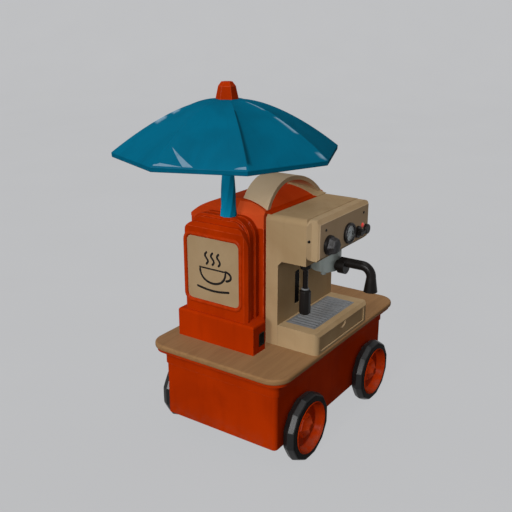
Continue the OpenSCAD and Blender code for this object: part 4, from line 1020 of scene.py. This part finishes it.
class CART_OT_tray(CartOperator, Operator):
    """Drip tray, drawer and grate"""

    bl_idname = "cart.tray"
    bl_label = "Drip tray"

    def execute(self, context):
        soften("tray_base", 2.2 * MM)
        soften("drip_drawer", 1.4 * MM)
        self.grate()
        return {"FINISHED"}

    def grate(self):
        """A flat frame with crowned slats across it, in groups of three."""
        low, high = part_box("drip_grate")
        rim, edge, slots = 6.7 * MM, 0.8 * MM, 14
        rows = ((0, low.z), (0, high.z - edge), (edge, high.z), (rim - edge, high.z), (rim, high.z - edge),
                (rim, low.z))
        rings = [[Vector((x, y, z)) for x, y in ((low.x + i, low.y + i), (high.x - i, low.y + i),
                                                 (high.x - i, high.y - i), (low.x + i, high.y - i))]
                 for i, z in rows]
        stand_in("grate_frame", skin(rings, True), "drip_grate")
        half, under = self.shape.slat / 2, -4.4 * MM
        outline = ((-half, under), (half, under), (half, -0.8 * MM), (0.7 * half, 0.7 * MM), (0, 1.2 * MM),
                   (-0.7 * half, 0.7 * MM), (-half, -0.8 * MM))
        reach = (high.y - low.y) / 2 - rim + MM
        bm = skin([[Vector((x, y, z)) for x, z in outline] for y in (-reach, reach)])
        pitch = (high.x - low.x - 2 * rim) / slots
        spots = [(Vector((low.x + rim + i * pitch + (1 - i % 3) * MM, (low.y + high.y) / 2, high.z)), (0, 0, 1))
                 for i in range(slots + 1)]
        repeat("grate_slats", to_mesh(bm, "slat"), spots, "grate", "plain_steel")


class CART_OT_brewing(CartOperator, Operator):
    """Group, filter holder with its handle, and steam wand"""

    bl_idname = "cart.brewing"
    bl_label = "Brewing group"

    def execute(self, context):
        edge = self.shape.metal_edge
        soften("group_head", edge)
        soften("portafilter_body", edge)
        soften("portafilter_handle", 1.6 * MM)
        soften("wand_socket", edge)
        soften("steam_wand", edge)
        self.sleeve()
        paint_nodes("shower_screen", "filter_basket")
        return {"FINISHED"}

    def sleeve(self):
        """Eight-sided grip on the wand, with a steel ring on its upper end."""
        low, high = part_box("wand_sleeve")
        axis, grip, taper = middle("wand_sleeve"), half_width("wand_sleeve"), 4 * MM
        steps = ((grip - taper, low.z), (grip + 0.4 * MM, low.z + taper), (grip + 0.4 * MM, high.z - taper),
                 (grip - taper, high.z))
        bm = skin([ring((axis.x, axis.y, z), r, 8, math.pi / 8) for r, z in steps])
        round_edges(stand_in("sleeve_grip", bm, "wand_sleeve", 20.0), 0.8 * MM, 20)
        bore, outer, tall = grip - 6 * MM, grip - 4.2 * MM, 3 * MM
        steps = ((bore, 0), (outer, 0), (outer, 2.2 * MM), (grip - 5 * MM, tall), (bore, tall))
        bm = skin([ring((axis.x, axis.y, high.z + z), r, 24) for r, z in steps], True)
        add_piece("sleeve_ring", bm, "wand", "plain_steel")


class CART_OT_controls(CartOperator, Operator):
    """Knobs, gauge, lamp and button"""

    bl_idname = "cart.controls"
    bl_label = "Controls"

    def execute(self, context):
        self.knob()
        soften("temp_knob", 1.0 * MM)
        soften("brew_button", 1.4 * MM)
        soften("gauge_case", 1.4 * MM)
        soften("gauge_needle", 0.2 * MM, 1)
        soften("pilot_lamp", 1.6 * MM)
        paint_nodes("brew_switch", "gauge_dial", "gauge_glass")
        self.ticks()
        return {"FINISHED"}

    def knob(self):
        """Steam knob: a six-sided tapered block on a round skirt, with its stem."""
        low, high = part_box("steam_knob")
        skirt, stem = half_width("steam_knob") / MM, 4
        profile = ((stem, (high.y - low.y) / MM, 0), (stem, 24, 0), (skirt - 1, 24, 0), (skirt, 23, 0),
                   (skirt - 0.5, 17, 0), (skirt - 2, 16, 0), (skirt - 2, 15.6, 1), (skirt - 5.5, 2, 1),
                   (skirt - 7, 0.6, 1), (skirt - 14, 0, 0.5))
        centre = middle("steam_knob")
        centre.y = low.y
        # the six facets carry the edge attribute: a grey that is partly wear and partly a painted highlight
        bm = skin(turned(profile, centre, 1.0, math.radians(2)), worn=(6, 7, 8))
        stand_in("steam_knob_block", bm, "steam_knob", 20.0)

    def ticks(self):
        """Eleven marks round the gauge's dial."""
        centre, face = middle("gauge_dial"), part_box("gauge_dial")[0].y
        reach, size = 0.78 * half_width("gauge_dial"), Vector((4.2, 0.9, 0.24)) * MM
        bm = bmesh.new()
        block(bm, -size / 2, size / 2)
        spots = []
        for i in range(11):
            angle = math.radians(225 - 27 * i)
            place = Vector((centre.x + reach * math.cos(angle), face, centre.z + reach * math.sin(angle)))
            turn = Matrix.Rotation(math.radians(90), 4, "X") @ Matrix.Rotation(angle, 4, "Z")
            spots.append((place, turn.to_euler()))
        repeat("dial_marks", to_mesh(bm, "mark"), spots, "cart", "black_plastic")


class CART_OT_inside(CartOperator, Operator):
    """Tank, pump, pipes and boiler inside the casing"""

    bl_idname = "cart.inside"
    bl_label = "Inside"

    def execute(self, context):
        paint_nodes("water_tank", "pump", "water_pipes", "boiler", "steam_line")
        return {"FINISHED"}


class CART_OT_stage(CartOperator, Operator):
    """Camera, lamps and a plain pale floor"""

    bl_idname = "cart.stage"
    bl_label = "Studio"

    def execute(self, context):
        studio = context.scene.cart_studio
        self.floor(studio)
        key = (-0.91, -0.05, 0.41)
        self.lamp("Key", key, studio.key * 0.4, 14, True)
        self.lamp("Key fill", key, studio.key * 0.6, 14, False)
        self.lamp("Top", (-0.1, 0.05, 0.99), studio.top, 40, False)
        self.lamp("Front", (0.1, -0.95, 0.3), studio.front, 40, False)
        self.lamp("Back", (0.6, 0.75, 0.28), studio.back, 40, False)
        self.world(context.scene, studio)
        self.camera(context.scene, studio)
        context.scene.view_settings.view_transform = "Standard"
        return {"FINISHED"}

    def floor(self, studio):
        """A level sheet that bends up behind the cart, as seen by the camera."""
        depth = min(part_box("tyre_front_left")[0].z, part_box("tyre_rear_left")[0].z)
        front, back, bend, wide, tall = -12.0, 9.0, 3.0, 30.0, 14.0
        away = Vector((math.cos(studio.heading), math.sin(studio.heading), 0))
        side = Vector((-away.y, away.x, 0))
        sweep = [(front, 0.0), (back - bend, 0.0)]
        sweep += [(back - bend + bend * math.sin(a), bend - bend * math.cos(a))
                  for a in (math.radians(6 * i) for i in range(1, 16))]
        sweep.append((back, tall))
        bm = bmesh.new()
        rows = [[bm.verts.new(away * s + side * w + Vector((0, 0, depth + h))) for w in (-wide, wide)]
                for s, h in sweep]
        for low, high in zip(rows, rows[1:]):
            bm.faces.new((low[0], low[1], high[1], high[0]))
        mesh = to_mesh(bm, "floor")
        mesh.shade_smooth()
        mesh.materials.append(self.floor_material(tuple(studio.backdrop)))
        floor = bpy.data.objects.new("floor", mesh)
        bpy.context.scene.collection.objects.link(floor)

    def floor_material(self, tone):
        """Mostly an even pale tone for the camera, so that only a soft shadow shows on it."""
        shade = Shade("Floor")
        base = shade.mix(tone, tuple(0.97 * c for c in tone), shade.noise(2.0, 2.0))
        seen = shade.direct()
        dull = shade.mix(tuple(0.06 * c for c in tone), base, seen)
        plain = shade.node("ShaderNodeBsdfDiffuse", None, {"Color": dull})
        even = shade.node("ShaderNodeEmission", None, {"Color": base})
        return shade.show(shade.node("ShaderNodeMixShader", None, {0: seen * 0.9, 1: plain, 2: even}))

    def lamp(self, name, way, strength, spread, shadow):
        data = bpy.data.lights.new(name, "SUN")
        data.use_shadow = shadow
        data.energy = strength
        data.angle = math.radians(spread)
        lamp = bpy.data.objects.new(name, data)
        lamp.rotation_euler = Vector(way).to_track_quat("Z", "Y").to_euler()
        bpy.context.scene.collection.objects.link(lamp)

    def world(self, scene, studio):
        """Even warm light; the camera, metal and glass see the backdrop's tone instead."""
        world = bpy.data.worlds.new("Studio")
        world.use_nodes = True
        tree = Tree(world.node_tree)
        warm = tuple(studio.world * share for share in (1.0, 0.88, 0.8))
        tone = tree.mix(warm, tuple(studio.backdrop), tree.direct())
        tree.tree.links.new(tone, tree.tree.nodes["Background"].inputs["Color"])
        scene.world = world

    def camera(self, scene, studio):
        data = bpy.data.cameras.new("Camera")
        data.lens = studio.lens
        data.sensor_width = 36.0
        data.clip_end = 100.0
        camera = bpy.data.objects.new("Camera", data)
        ahead = Vector((math.cos(studio.tilt) * math.cos(studio.heading),
                        math.cos(studio.tilt) * math.sin(studio.heading), -math.sin(studio.tilt)))
        camera.location = studio.place
        camera.rotation_euler = ahead.to_track_quat("-Z", "Y").to_euler()
        scene.collection.objects.link(camera)
        scene.camera = camera


class CART_PT_panel(Panel):
    """Lists the cart's operators"""

    bl_idname = "CART_PT_panel"
    bl_label = "Coffee Cart"
    bl_space_type = "VIEW_3D"
    bl_region_type = "UI"
    bl_category = "Coffee Cart"

    def draw(self, context):
        for step in STEPS:
            self.layout.operator(step.bl_idname)


STEPS = (CART_OT_base, CART_OT_wheels, CART_OT_sign, CART_OT_parasol, CART_OT_casing, CART_OT_tray,
         CART_OT_brewing, CART_OT_controls, CART_OT_inside, CART_OT_stage)
CLASSES = (CartColours, CartShape, CartStudio, *STEPS, CART_PT_panel)


def register():
    for cls in CLASSES:
        bpy.utils.register_class(cls)
    bpy.types.Scene.cart_colours = PointerProperty(type=CartColours)
    bpy.types.Scene.cart_shape = PointerProperty(type=CartShape)
    bpy.types.Scene.cart_studio = PointerProperty(type=CartStudio)


def unregister():
    del bpy.types.Scene.cart_studio
    del bpy.types.Scene.cart_shape
    del bpy.types.Scene.cart_colours
    for cls in reversed(CLASSES):
        bpy.utils.unregister_class(cls)


def main():
    register()
    for step in (bpy.ops.cart.base, bpy.ops.cart.wheels, bpy.ops.cart.sign, bpy.ops.cart.parasol,
                 bpy.ops.cart.casing, bpy.ops.cart.tray, bpy.ops.cart.brewing, bpy.ops.cart.controls,
                 bpy.ops.cart.inside, bpy.ops.cart.stage):
        step()


if __name__ == "__main__":
    main()
